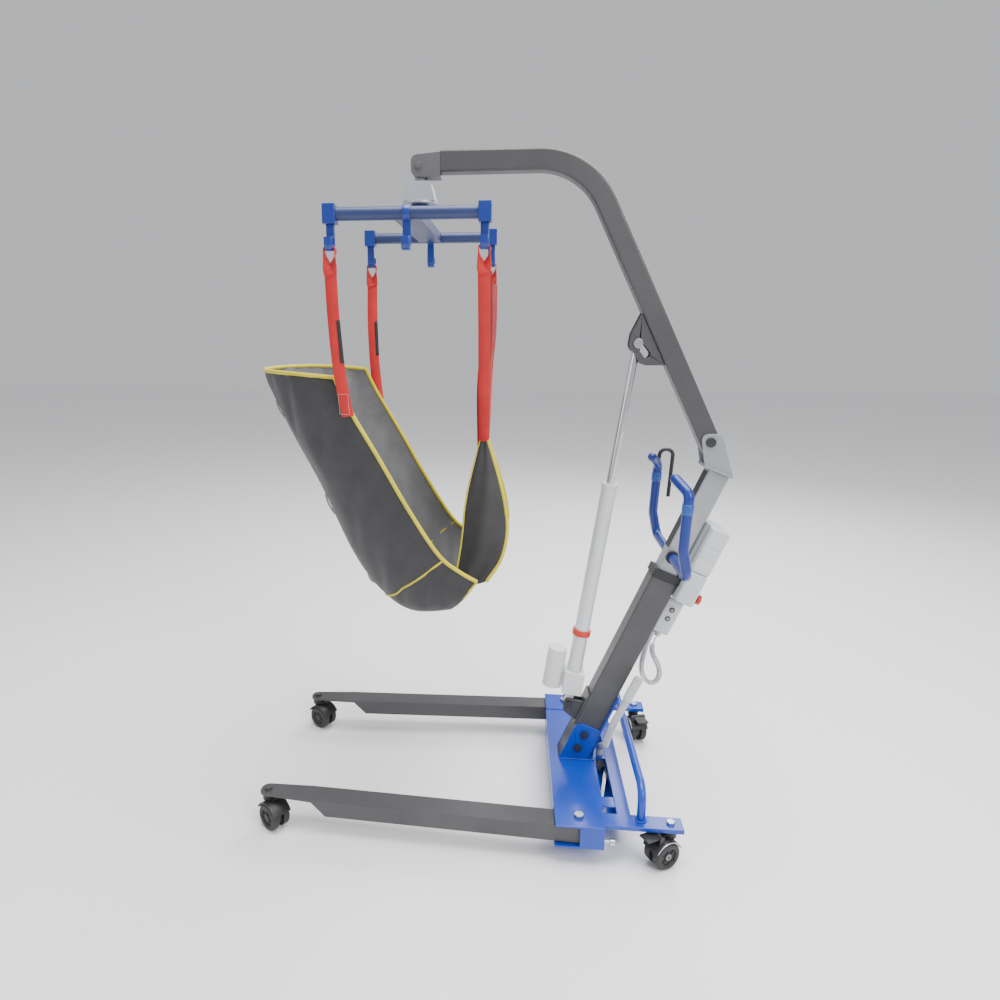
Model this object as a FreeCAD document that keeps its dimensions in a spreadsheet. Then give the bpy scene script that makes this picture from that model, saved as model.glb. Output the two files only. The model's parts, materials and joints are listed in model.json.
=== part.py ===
"""Mobile patient lift hoist: base with spreading legs, leaning mast, lifting boom, spreader bar and sling.

Millimetres. +Z is up, -X is forwards (the way the legs and the boom reach) and -Y is the
hoist's own left side. The origin is on the floor under the middle of the hoist.
"""

import FreeCAD, Part
import math
import os
import re

import Sketcher

from FreeCAD import Placement, Rotation, Vector

doc = FreeCAD.newDocument("patient_lift_hoist")
parts = {}

# ------------------------------------------------------------------ driving dimensions

DIMENSIONS = [
    ("run_clearance", 0.05, "radial clearance of every pin or axle that turns in a bore"),
    ("body_clearance", 0.5, "smallest gap kept between pieces that move past each other"),
    # castors
    ("wheel_radius", 37.5, "castor wheel"),
    ("wheel_width", 20, "one wheel of a twin-wheel castor"),
    ("fork_web", 12, "web of the castor body, between its two wheels"),
    ("wheel_side_gap", 1.2, "gap between the web and each wheel"),
    ("castor_trail", 22, "from the swivel axis to the wheel axle"),
    ("fork_rise", 25, "top of the wheel to the plate that the castor is bolted under"),
    ("castor_play", 1, "plate to the castor's bearing cup"),
    ("castor_stem_radius", 6, "swivel stem"),
    ("axle_radius", 4, "wheel axle"),
    # base
    ("base_front", 177, "x of the front edge of the base"),
    ("base_length", 199, "base, front to back"),
    ("base_half_width", 245, "half width of the deck between the leg pockets"),
    ("deck_rise", 5, "top of the leg tubes to the top of the deck"),
    ("deck_thickness", 4, "sheet of the deck and tray"),
    ("tray_drop", 11, "underside of the leg tubes to the underside of the base"),
    ("rear_beam_depth", 36, "rear beam, front to back"),
    ("rear_beam_height", 20, "rear beam, height"),
    # leg pockets and legs
    ("leg_pivot_radius", 8, "leg pivot bolt"),
    ("leg_width", 64, "leg tube width"),
    ("leg_height", 46, "leg tube height"),
    ("leg_wall", 3, "leg tube wall"),
    ("leg_side_room", 18, "leg tube to the inner wall of its pocket"),
    ("leg_reach", 847, "leg pivot to front castor"),
    ("leg_tail", 26, "leg tube behind its pivot"),
    ("leg_toe_angle", 2.57, "toe-in of the leg at rest"),
    ("tongue_length", 150, "flat tongue that carries the front castor"),
    ("tongue_width", 50, "front tongue"),
    ("tongue_thickness", 6, "front tongue"),
    ("pocket_plate", 5, "plates of the leg pocket"),
    ("pocket_length", 126, "leg pocket, front to back"),
    ("pocket_gap", 4, "washer gap above and below the leg"),
    # outriggers, guard tube
    ("rear_castor_x", 472, "rear castor"),
    ("outrigger_width", 50, "outrigger bar"),
    ("outrigger_height", 12, "outrigger bar"),
    ("outrigger_end", 30, "outrigger behind the rear castor"),
    ("guard_offset", 22, "rear edge of the base to the bent tube"),
    ("guard_rise", 86, "outriggers to the bent tube's centre line"),
    ("guard_radius", 11, "bent tube"),
    # leg spreading linkage
    ("lever_x", 326, "upright foot of the spread lever"),
    ("lever_radius", 10, "spread lever tube"),
    ("lever_reach", 86, "spread lever, rearwards from its foot"),
    ("lever_height", 280, "spread lever, above the deck"),
    ("crank_arm", 24, "lever axis to each crank pin"),
    ("rod_thickness", 6, "tie rods"),
    ("rod_pin_radius", 5, "pins that the tie rods turn on"),
    ("rod_slack", 3, "clearance round the pin in a tie rod's slotted eye"),
    ("tail_arm", 46, "leg pivot to the pin behind it"),
    # mast
    ("mast_lean", 22, "mast, back from vertical, degrees"),
    ("mast_foot_x", 241, "mast axis at deck height"),
    ("mast_depth", 72, "lower mast tube, front to back"),
    ("mast_width", 60, "lower mast tube, side to side"),
    ("mast_wall", 4, "lower mast tube"),
    ("mast_lower_length", 610, "lower mast tube"),
    ("tube_gap", 3, "lower mast tube's inside to the upper mast tube, each side"),
    ("upper_wall", 3, "upper mast tube"),
    ("mast_length", 935, "deck to the top of the upper mast tube, along the mast"),
    ("mast_insert", 250, "length of upper tube inside the lower tube"),
    ("foot_plate", 6, "plates of the mast foot bracket"),
    ("foot_bolt_radius", 6, "mast foot bolts"),
    ("head_plate", 5, "cheeks of the mast head"),
    # boom
    ("pivot_rise", 65.3, "mast's top to the boom pivot, along the mast"),
    ("pivot_forward", 60.1, "boom pivot, forward of the mast's axis"),
    ("boom_pin_radius", 8, "boom pivot pin"),
    ("boom_slope", 63.4, "rear part of the boom, from horizontal, degrees"),
    ("boom_top", 1785, "top of the front part of the boom"),
    ("boom_height", 52, "boom tube"),
    ("boom_width", 50, "boom tube"),
    ("boom_wall", 3, "boom tube"),
    ("boom_bend_radius", 190, "centre line of the bend"),
    ("boom_tube_end", -154, "x where the boom tube ends and its tip casting starts"),
    ("tip_reach", 54, "hanger pin, beyond the boom tube"),
    ("tip_drop", 35, "hanger pin, below the boom's top"),
    ("tip_pin_radius", 6, "hanger pin"),
    # actuator
    ("foot_along", 152.4, "lower actuator pin, along the mast"),
    ("foot_standoff", 40.7, "lower actuator pin, forward of the lower mast tube"),
    ("head_along", 315.8, "upper actuator pin, up the boom from its pivot"),
    ("head_below", 65.5, "upper actuator pin, below the boom's centre line"),
    ("actuator_pin_radius", 6, "both actuator pins"),
    ("ram_radius", 11, "lifting rod"),
    ("ram_exposed", 378, "rod between the upper pin and the tube's collar"),
    ("gears_top", 102, "top of the gear housing, above the lower pin"),
    ("actuator_tube_radius", 21, "outer tube of the actuator"),
    ("foot_eye_width", 22, "lower eye of the actuator"),
    ("rod_eye_width", 24, "upper eye of the lifting rod"),
    ("lug_thickness", 6, "each plate of the boom lug"),
    ("release_height", 214, "red release ring above the lower pin"),
    ("slot_half_width", 9.5, "half width of the anti-crush slot"),
    ("slot_shift", 1.5, "slot's centre line, sideways from the pin at rest"),
    ("slot_run", 36, "run of the anti-crush slot in the boom lug"),
    ("slot_angle", -52, "direction of that slot, from +X, degrees"),
    # hanger and spreader
    ("hanger_eye", 20, "hanger link, side to side"),
    ("hub_hang", 38, "hanger pin to the top of the swivel hub"),
    ("hub_height", 46, "swivel hub"),
    ("swivel_radius", 10, "swivel shaft"),
    ("spreader_length", 356, "spreader side bars, hook to hook"),
    ("spreader_half_width", 241, "to each side bar"),
    ("spreader_hang", 60, "swivel hub to the side bars' centre line"),
    ("spreader_bar_radius", 15, "side bars"),
    ("hook_width", 26, "hook plate"),
    ("hook_drop", 78, "hook below the side bar's centre"),
    # handles
    ("handle_along", 676.3, "push handle crossbar, along the mast"),
    ("handle_forward", 7.9, "push handle crossbar, forward of the mast's axis"),
    ("handle_radius", 13, "push handle tube"),
    ("handle_half_width", 200, "to each grip"),
    ("handle_rise", 228, "grip height above the crossbar"),
    ("handle_hook_radius", 5.5, "rod of the hook on the right handle"),
    # control box and handset
    ("control_width", 120, "control box, side to side"),
    ("control_depth", 52, "control box, away from the mast"),
    ("control_standoff", 12, "upper mast tube to the control box"),
    ("control_length", 226, "control box, along the mast"),
    ("control_along", 687, "middle of the control box, along the mast"),
    ("stop_stem_radius", 7, "stem of the stop button"),
    ("handset_width", 50, "handset"),
    ("handset_depth", 26, "handset"),
    ("handset_length", 108, "handset"),
    ("handset_along", 506, "middle of the handset, along the mast"),
    ("handset_y", 15, "handset, sideways"),
    # sling
    ("strap_width", 30, "webbing straps"),
    ("strap_thickness", 4, "webbing straps"),
    ("sling_thickness", 6, "sling fabric"),
    ("cord_radius", 8, "outer radius of the curly cord"),
]

sheet = doc.addObject("Spreadsheet::Sheet", "Dimensions")
for row, (alias, value, meaning) in enumerate(DIMENSIONS, start=1):
    sheet.set(f"A{row}", alias)
    sheet.set(f"B{row}", str(value))
    sheet.set(f"C{row}", meaning)
    sheet.setAlias(f"B{row}", alias)
doc.recompute()


class Sizes:
    """The sheet's values as plain numbers, and the heights and places worked out from them."""


size = Sizes()
for alias, _, _ in DIMENSIONS:
    setattr(size, alias, float(sheet.get(alias)))
CELLS = set(vars(size))

# ------------------------------------------------------------------ worked-out heights and places


def flat(x, y):
    return Vector(x, y, 0)


# The castors carry the legs and the outriggers, and the deck stands on those.
size.castor_height = 2 * size.wheel_radius + size.fork_rise
size.leg_bottom = size.castor_height - size.castor_play + size.tongue_thickness - size.leg_height
size.rod_z = size.leg_bottom + size.leg_height / 2
size.deck_top = size.leg_bottom + size.leg_height + size.deck_rise
size.tray_bottom = size.leg_bottom - size.tray_drop
size.base_rear = size.base_front + size.base_length
size.leg_pivot_x = size.base_front + size.pocket_length / 2
size.leg_pivot_y = size.base_half_width + size.pocket_plate + size.leg_side_room + size.leg_width / 2
size.guard_x = size.base_rear + size.guard_offset
size.guard_top = size.castor_height + size.outrigger_height + size.guard_rise
size.slot_front = size.lever_x - size.lever_radius - 7
size.lever_end_x = size.lever_x + size.lever_reach
size.lever_end_z = size.deck_top + size.lever_height

# The upper mast tube slides in the lower one.
size.upper_depth = size.mast_depth - 2 * (size.mast_wall + size.tube_gap)
size.upper_width = size.mast_width - 2 * (size.mast_wall + size.tube_gap)

LEAN = math.radians(size.mast_lean)
MAST_FRAME = Placement(
    Vector(size.mast_foot_x, 0, size.deck_top), Rotation(Vector(0, 1, 0), size.mast_lean)
)


def mast_point(along, across):
    """X and Z of a point measured up the mast's axis and rearwards from it."""
    x = size.mast_foot_x + along * math.sin(LEAN) + across * math.cos(LEAN)
    z = size.deck_top + along * math.cos(LEAN) - across * math.sin(LEAN)
    return flat(x, z)


SLOPE = math.radians(size.boom_slope)
BOOM_PIVOT = mast_point(size.mast_length + size.pivot_rise, -size.pivot_forward)
size.boom_pivot_x, size.boom_pivot_z = BOOM_PIVOT.x, BOOM_PIVOT.y


def boom_point(along, below):
    """X and Z of a point measured up the boom's rear part from its pivot and out from its underside."""
    x = size.boom_pivot_x - along * math.cos(SLOPE) - below * math.sin(SLOPE)
    z = size.boom_pivot_z + along * math.sin(SLOPE) - below * math.cos(SLOPE)
    return flat(x, z)


HANDLE = mast_point(size.handle_along, -size.handle_forward)
size.handle_x, size.handle_z = HANDLE.x, HANDLE.y

# The spreader hangs from the boom's tip, and the sling from the spreader.
size.tip_pin_x = size.boom_tube_end - size.tip_reach
size.tip_pin_z = size.boom_top - size.tip_drop
size.hub_top = size.tip_pin_z - size.hub_hang
size.hub_bottom = size.hub_top - size.hub_height
size.spreader_z = size.hub_bottom - size.spreader_hang

FOOT = mast_point(size.foot_along, -size.mast_depth / 2 - size.foot_standoff)
HEAD = boom_point(size.head_along, size.head_below)
ACTUATOR_FOOT, ACTUATOR_HEAD = Vector(FOOT.x, 0, FOOT.y), Vector(HEAD.x, 0, HEAD.y)
size.actuator_foot_x, size.actuator_foot_z = FOOT.x, FOOT.y
ACTUATOR_LENGTH = (ACTUATOR_HEAD - ACTUATOR_FOOT).Length
ACTUATOR_TILT = math.degrees(
    math.atan2(ACTUATOR_HEAD.x - ACTUATOR_FOOT.x, ACTUATOR_HEAD.z - ACTUATOR_FOOT.z)
)
ACTUATOR_FRAME = Placement(ACTUATOR_FOOT, Rotation(Vector(0, 1, 0), ACTUATOR_TILT))

SIDES = (("left", -1), ("right", 1))

# ------------------------------------------------------------------ tools

NAMES = sorted(vars(size), key=len, reverse=True)
WORD = re.compile(r"\b(" + "|".join(NAMES) + r")\b")


def cell_or_value(found):
    name = found[1]
    return f"Dimensions.{name}" if name in CELLS else f"({getattr(size, name)})"


def expression(text):
    """Write each dimension as the cell that holds it, and each worked-out place as its value."""
    return WORD.sub(cell_or_value, str(text))


def bind(thing, **settings):
    for name, text in settings.items():
        thing.setExpression(name, expression(text))
    return thing


def put(thing, at):
    for axis, text in zip("xyz", at):
        thing.setExpression(f"Placement.Base.{axis}", expression(text))
    return thing


def box(name, length, width, height, at=("0", "0", "0")):
    solid = doc.addObject("Part::Box", name)
    bind(solid, Length=length, Width=width, Height=height)
    return put(solid, at)


AXIS_TURN = {
    "x": Rotation(Vector(0, 1, 0), 90),
    "y": Rotation(Vector(1, 0, 0), -90),
    "z": Rotation(),
}


def rod(name, radius, length, at=("0", "0", "0"), axis="z"):
    """A cylinder from a point along +X, +Y or +Z."""
    solid = doc.addObject("Part::Cylinder", name)
    bind(solid, Radius=radius, Height=length)
    solid.Placement = Placement(Vector(), AXIS_TURN[axis])
    return put(solid, at)


def pin(name, radius, length, at, axis="y"):
    """A cylinder centred on a point."""
    along = "xyz".index(axis)
    start = [f"{text} - ({length}) / 2" if i == along else text for i, text in enumerate(at)]
    return rod(name, radius, length, start, axis)


def fuse(name, *things):
    whole = doc.addObject("Part::MultiFuse", name)
    whole.Shapes = list(things)
    return whole


def cut(name, base, *tools):
    whole = doc.addObject("Part::Cut", name)
    whole.Base = base
    whole.Tool = tools[0] if len(tools) == 1 else fuse(f"{name}_tools", *tools)
    return whole


def group(name, *things):
    whole = doc.addObject("Part::Compound", name)
    whole.Links = list(things)
    return whole


def rounded(points, radius):
    """Straight runs through the points, joined by tangent arcs of the given radius or radii."""
    count = len(points)
    radii = radius if isinstance(radius, (list, tuple)) else [radius] * (count - 2)
    runs, start = [], points[0]
    for i in range(1, count - 1):
        back = (points[i - 1] - points[i]).normalize()
        ahead = (points[i + 1] - points[i]).normalize()
        half = back.getAngle(ahead) / 2
        reach = radii[i - 1] / math.tan(half)
        middle = (back + ahead).normalize()
        centre = points[i] + middle * (radii[i - 1] / math.sin(half))
        entry, leave = points[i] + back * reach, points[i] + ahead * reach
        if (entry - start).Length > 1e-4:
            runs.append(Part.LineSegment(start, entry))
        runs.append(Part.Arc(entry, centre - middle * radii[i - 1], leave))
        start = leave
    if (points[-1] - start).Length > 1e-4:
        runs.append(Part.LineSegment(start, points[-1]))
    return runs


def closed(points, radius):
    """A closed outline with every corner rounded; a radius may be given for each corner."""
    count = len(points)
    radii = radius if isinstance(radius, (list, tuple)) else [radius] * count
    ends = []
    for i in range(count):
        corner, before, after = points[i], points[i - 1], points[(i + 1) % count]
        back, ahead = (before - corner).normalize(), (after - corner).normalize()
        if radii[i] <= 0:
            ends.append((corner, None, corner))
            continue
        half = back.getAngle(ahead) / 2
        reach = radii[i] / math.tan(half)
        middle = (back + ahead).normalize()
        crest = corner + middle * (radii[i] / math.sin(half) - radii[i])
        ends.append((corner + back * reach, crest, corner + ahead * reach))
    runs = []
    for i in range(count):
        entry, crest, leave = ends[i]
        if crest is not None:
            runs.append(Part.Arc(entry, crest, leave))
        following = ends[(i + 1) % count][0]
        if (following - leave).Length > 1e-4:
            runs.append(Part.LineSegment(leave, following))
    return runs


def sketch_on(body, name, plane, runs, circles=(), offset=0):
    """A sketch on one of the body's own planes, holding runs of outline and round holes."""
    sketch = body.newObject("Sketcher::SketchObject", name)
    support = next(f for f in body.Origin.OriginFeatures if f.Role == plane)
    sketch.AttachmentSupport = (support, [""])
    sketch.MapMode = "FlatFace"
    sketch.AttachmentOffset = Placement(Vector(0, 0, offset), Rotation())
    sketch.addGeometry(list(runs), False)
    for number, (x, y, radius) in enumerate(circles):
        circle = Part.Circle(Vector(x, y, 0), Vector(0, 0, 1), getattr(size, radius))
        index = sketch.addGeometry(circle, False)
        constraint = sketch.addConstraint(Sketcher.Constraint("Radius", index, getattr(size, radius)))
        sketch.renameConstraint(constraint, f"radius_{number}")
        sketch.setExpression(f"Constraints.radius_{number}", expression(radius))
    return sketch


def plate(name, plane, runs, thickness, circles=(), offset=0, centred=True):
    """A body padded from one sketch, to both sides of the plane unless centred is false."""
    body = doc.addObject("PartDesign::Body", name)
    outline = sketch_on(body, f"{name}_outline", plane, runs, circles, offset)
    pad = body.newObject("PartDesign::Pad", f"{name}_pad")
    pad.Profile = outline
    pad.Midplane = centred
    bind(pad, Length=thickness)
    outline.Visibility = False
    return body


def piped(name, path_plane, path_runs, path_offset, section_plane, section_runs, start):
    """A body swept along a flat path. The section is drawn on the plane that the path starts from."""
    body = doc.addObject("PartDesign::Body", name)
    path = sketch_on(body, f"{name}_path", path_plane, path_runs, (), path_offset)
    section = sketch_on(body, f"{name}_section", section_plane, section_runs, (), start)
    pipe = body.newObject("PartDesign::AdditivePipe", f"{name}_pipe")
    pipe.Profile = section
    pipe.Spine = (path, [f"Edge{i + 1}" for i in range(len(path_runs))])
    return body


def swept(name, points, bends, radius, bore=0.0):
    """A round bar or tube along straight runs and arcs that don't lie in one plane."""
    path = Part.Wire([run.toShape() for run in rounded(points, bends)])
    heading = points[1] - points[0]
    solids = []
    for r in (radius, bore):
        if r > 0:
            ring = Part.Wire([Part.Circle(points[0], heading, r).toShape()])
            solids.append(path.makePipeShell([ring], True, False))
    feature = doc.addObject("Part::Feature", name)
    feature.Shape = solids[0].cut(solids[1]) if len(solids) > 1 else solids[0]
    return feature


def rectangle(width, height, corner, centre=(0, 0)):
    x, y = centre
    points = [
        Vector(x - width / 2, y - height / 2),
        Vector(x + width / 2, y - height / 2),
        Vector(x + width / 2, y + height / 2),
        Vector(x - width / 2, y + height / 2),
    ]
    return closed(points, corner)


def as_part(label, thing, placement=None):
    """Register a finished sub-part: its label names its file."""
    if placement is not None:
        if thing.ExpressionEngine:
            thing = group(f"{label}_placed", thing)
        thing.Placement = placement
    thing.Label = label
    parts[label] = thing
    return thing


def bundle(label, *labels):
    """Keep several finished pieces of one body together in one file, as separate solids."""
    whole = group(f"{label}_set", *[parts.pop(name) for name in labels])
    return as_part(label, whole)


# ------------------------------------------------------------------ base


def base_deck():
    """Folded deck over a tray, with the tie rods in the hollow between them."""
    inside = "deck_top - deck_thickness - tray_bottom"
    deck_length = "base_rear - rear_beam_depth - base_front"
    full = "2 * base_half_width"
    top = box("deck_sheet", deck_length, full, "deck_thickness",
              ("base_front", "-base_half_width", "deck_top - deck_thickness"))
    front = box("deck_front", "deck_thickness", full, inside,
                ("base_front", "-base_half_width", "tray_bottom"))
    tray = box("deck_tray", "base_rear - base_front", full, "deck_thickness",
               ("base_front", "-base_half_width", "tray_bottom"))
    rear = box("deck_rear", "deck_thickness", full, "deck_top - rear_beam_height - tray_bottom",
               ("base_rear - deck_thickness", "-base_half_width", "tray_bottom"))
    boss = rod("lever_boss", "lever_radius + 7", "12",
               ("lever_x", "0", "tray_bottom + deck_thickness"))
    slots = []
    for side, sign in SIDES:
        start = "24" if sign > 0 else "-base_half_width + 40"
        slots.append(box(f"slot_{side}", "base_rear - rear_beam_depth - slot_front",
                         "base_half_width - 64", "3 * deck_thickness",
                         ("slot_front", start, "deck_top - 2 * deck_thickness")))
    shaft = rod("lever_hole", "lever_radius + run_clearance", "deck_top",
                ("lever_x", "0", "tray_bottom + deck_thickness"))
    whole = fuse("deck_solid", top, front, tray, rear, boss)
    as_part("base_deck", cut("base_deck_cut", whole, shaft, *slots))


def rear_beam():
    outer = box("beam_outer", "rear_beam_depth", "2 * (leg_pivot_y - outrigger_width / 2)",
                "rear_beam_height",
                ("base_rear - rear_beam_depth", "-(leg_pivot_y - outrigger_width / 2)",
                 "deck_top - rear_beam_height"))
    inner = box("beam_inner", "rear_beam_depth - 6", "2 * leg_pivot_y", "rear_beam_height - 6",
                ("base_rear - rear_beam_depth + 3", "-leg_pivot_y", "deck_top - rear_beam_height + 3"))
    as_part("rear_beam", cut("rear_beam_cut", outer, inner))


def leg_pocket(side, sign):
    """Two plates that the leg turns between, with a closed rear half."""
    outer_y = "leg_pivot_y + leg_width / 2 + 5 + pocket_plate"
    width = f"({outer_y}) - base_half_width"
    low = "leg_bottom - pocket_gap - pocket_plate"
    tall = "leg_height + 2 * pocket_gap + 2 * pocket_plate"

    def y_from(inner, across):
        return inner if sign > 0 else f"-({inner}) - ({across})"

    top = box(f"pocket_top_{side}", "pocket_length", width, "pocket_plate",
              ("base_front", y_from("base_half_width", width), f"{low} + {tall} - pocket_plate"))
    bottom = box(f"pocket_bottom_{side}", "pocket_length", width, "pocket_plate",
                 ("base_front", y_from("base_half_width", width), low))
    inner = box(f"pocket_inner_{side}", "pocket_length", "pocket_plate", tall,
                ("base_front", y_from("base_half_width", "pocket_plate"), low))
    outer = box(f"pocket_outer_{side}", "pocket_length / 2", "pocket_plate", tall,
                ("base_front + pocket_length / 2", y_from(f"{outer_y} - pocket_plate", "pocket_plate"),
                 low))
    rear = box(f"pocket_rear_{side}", "pocket_plate", width, tall,
               ("base_front + pocket_length - pocket_plate", y_from("base_half_width", width), low))
    bolt = rod(f"pocket_bolt_hole_{side}", "leg_pivot_radius", "2 * leg_height",
               ("leg_pivot_x", f"{sign} * leg_pivot_y", "leg_bottom - 20"))
    across = "leg_pivot_y - base_half_width + leg_width / 2 + pocket_plate"
    window = box(f"pocket_window_{side}", "pocket_length / 2", across, "leg_height - 16",
                 ("leg_pivot_x + 14", y_from("base_half_width - 2 * pocket_plate", across),
                  "leg_bottom + 10"))
    knob_hole = pin(f"pocket_knob_hole_{side}", "5", "4 * pocket_plate",
                    ("base_front + pocket_length", f"{sign} * (leg_pivot_y + 22)", "leg_bottom + 3"), "x")
    whole = fuse(f"pocket_solid_{side}", top, bottom, inner, outer, rear)
    as_part(f"leg_pocket_{side}", cut(f"leg_pocket_cut_{side}", whole, bolt, window, knob_hole))


def leg_pivots():
    """Hexagon-headed pivot bolts and the plain washers above and below each leg."""
    bolts, washers = [], []
    low = "leg_bottom - pocket_gap - pocket_plate"
    tall = "leg_height + 2 * pocket_gap + 2 * pocket_plate"
    for side, sign in SIDES:
        y = f"{sign} * leg_pivot_y"
        shank = rod(f"pivot_shank_{side}", "leg_pivot_radius", f"{tall} + 8",
                    ("leg_pivot_x", y, f"{low} - 8"))
        head = hexagon(f"pivot_head_{side}", "1.6 * leg_pivot_radius", "8",
                       ("leg_pivot_x", y, f"{low} + {tall}"))
        nut = hexagon(f"pivot_nut_{side}", "1.6 * leg_pivot_radius", "7", ("leg_pivot_x", y, f"{low} - 7"))
        bolts.append(fuse(f"pivot_bolt_{side}", shank, head, nut))
        for level, z in (("low", "leg_bottom - pocket_gap"),
                         ("high", "leg_bottom + leg_height + body_clearance")):
            thick = "pocket_gap - body_clearance"
            ring = rod(f"washer_{level}_{side}", "2 * leg_pivot_radius", thick, ("leg_pivot_x", y, z))
            hole = rod(f"washer_hole_{level}_{side}", "leg_pivot_radius", thick, ("leg_pivot_x", y, z))
            washers.append(cut(f"washer_ring_{level}_{side}", ring, hole))
    as_part("leg_pivot_bolts", group("leg_pivot_bolt_pair", *bolts))
    as_part("leg_pivot_washers", group("leg_pivot_washer_set", *washers))


def hexagon(name, across, height, at):
    solid = doc.addObject("Part::Prism", name)
    solid.Polygon = 6
    bind(solid, Circumradius=across, Height=height)
    return put(solid, at)


def outrigger(side, sign):
    """Flat bar from the leg pocket to the rear castor."""
    bar = box(f"outrigger_bar_{side}", "rear_castor_x + outrigger_end - base_front - pocket_length",
              "outrigger_width", "outrigger_height",
              ("base_front + pocket_length", f"{sign} * leg_pivot_y - outrigger_width / 2",
               "castor_height"))
    hole = rod(f"outrigger_hole_{side}", "castor_stem_radius", "3 * outrigger_height",
               ("rear_castor_x", f"{sign} * leg_pivot_y", "castor_height - outrigger_height"))
    as_part(f"outrigger_{side}", cut(f"outrigger_cut_{side}", bar, hole))


def guard_tube():
    """Bent round tube that ties the two outriggers and guards the linkage."""
    reach = size.leg_pivot_y - 6
    foot = size.castor_height + size.outrigger_height
    path = rounded([flat(-reach, foot), flat(-reach, size.guard_top),
                    flat(reach, size.guard_top), flat(reach, foot)], 4 * size.guard_radius)
    ring = [Part.Circle(flat(size.guard_x, -reach), Vector(0, 0, 1), r)
            for r in (size.guard_radius, size.guard_radius - 2)]
    body = piped("guard_tube_body", "YZ_Plane", path, size.guard_x, "XY_Plane", ring, foot)
    as_part("guard_tube", body)


def stop_knobs():
    """Plungers behind the pockets that the opened legs stop against."""
    knobs = []
    for side, sign in SIDES:
        y, z = f"{sign} * (leg_pivot_y + 22)", "leg_bottom + 3"
        start = "base_front + pocket_length"
        stem = rod(f"knob_stem_{side}", "5", "24 + pocket_plate", (f"{start} - pocket_plate", y, z), "x")
        head = rod(f"knob_head_{side}", "9", "12", (f"{start} + 16", y, z), "x")
        knobs.append(fuse(f"knob_{side}", stem, head))
    as_part("leg_stop_knobs", group("leg_stop_knob_pair", *knobs))


# ------------------------------------------------------------------ castors


def castor_stem(name, x, y, plate_thickness):
    """Shouldered swivel stem, bolted through the plate above the castor."""
    stem = rod(f"{name}_stem", "castor_stem_radius", f"{plate_thickness} + 24",
               (x, y, "castor_height - 24"))
    head = hexagon(f"{name}_head", "1.8 * castor_stem_radius", "7",
                   (x, y, f"castor_height + {plate_thickness}"))
    return fuse(f"{name}_bolt", stem, head)


def castor(tag, placement):
    """Twin-wheel castor, drawn with its swivel axis on the origin and trailing along +X."""
    hub = ("castor_trail", "0", "wheel_radius")
    fork_width = "fork_web + 2 * wheel_side_gap + 2 * wheel_width"
    web = pin(f"web_{tag}", "wheel_radius - 9", "fork_web", hub)
    neck = box(f"neck_{tag}", "castor_trail + 14", "fork_web", "castor_height - 12 - wheel_radius",
               ("-10", "-fork_web / 2", "wheel_radius"))
    cup = rod(f"cup_{tag}", "castor_stem_radius + 11", "20", ("0", "0", "castor_height - 22"))
    hood_ring = cut(f"hood_ring_{tag}",
                    pin(f"hood_outer_{tag}", "wheel_radius + 6", fork_width, hub),
                    pin(f"hood_inner_{tag}", "wheel_radius + 2.5", f"{fork_width} + 2", hub))
    hood_box = box(f"hood_box_{tag}", "4 * wheel_radius", f"{fork_width} + 2", "2 * wheel_radius",
                   ("-castor_trail - wheel_radius", f"-({fork_width}) / 2 - 1", "1.45 * wheel_radius"))
    hood = doc.addObject("Part::Common", f"hood_{tag}")
    hood.Base, hood.Tool = hood_ring, hood_box
    bore = rod(f"cup_bore_{tag}", "castor_stem_radius + run_clearance", "castor_height",
               ("0", "0", "castor_height - 24.5"))
    axle_hole = pin(f"axle_hole_{tag}", "axle_radius", "2 * fork_web", hub)
    body = cut(f"fork_cut_{tag}", fuse(f"fork_solid_{tag}", web, neck, cup, hood), bore, axle_hole)
    as_part(f"castor_fork_{tag}", body, placement)
    axle = pin(f"axle_{tag}", "axle_radius", fork_width, hub)
    as_part(f"castor_axle_{tag}", group(f"axle_group_{tag}", axle), placement)
    as_part(f"castor_wheels_{tag}", wheel_pair(tag), placement)


def wheel_pair(tag):
    """Two equal wheels, one revolved and one mirrored from it."""
    r, w = size.wheel_radius, size.wheel_width
    near = size.fork_web / 2 + size.wheel_side_gap
    bore = size.axle_radius + size.run_clearance
    outline = [
        flat(bore, near), flat(r - 2.5, near), flat(r, near + 2.5), flat(r, near + w - 4),
        flat(r - 4, near + w), flat(0.62 * r, near + w), flat(0.58 * r, near + w - 4),
        flat(0.3 * r, near + w - 4), flat(0.27 * r, near + w - 1), flat(bore, near + w - 1),
    ]
    body = doc.addObject("PartDesign::Body", f"wheel_{tag}")
    section = sketch_on(body, f"wheel_section_{tag}", "XY_Plane",
                        closed(outline, [0, 0, 0, 0, 2, 0, 0, 0, 0, 0]))
    turn = body.newObject("PartDesign::Revolution", f"wheel_turn_{tag}")
    turn.Profile = section
    turn.ReferenceAxis = (section, ["V_Axis"])
    turn.Angle = 360
    put(body, ("castor_trail", "0", "wheel_radius"))
    other = doc.addObject("Part::Mirroring", f"wheel_other_{tag}")
    other.Source = body
    other.Normal = Vector(0, 1, 0)
    return group(f"wheel_pair_{tag}", body, other)


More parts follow.
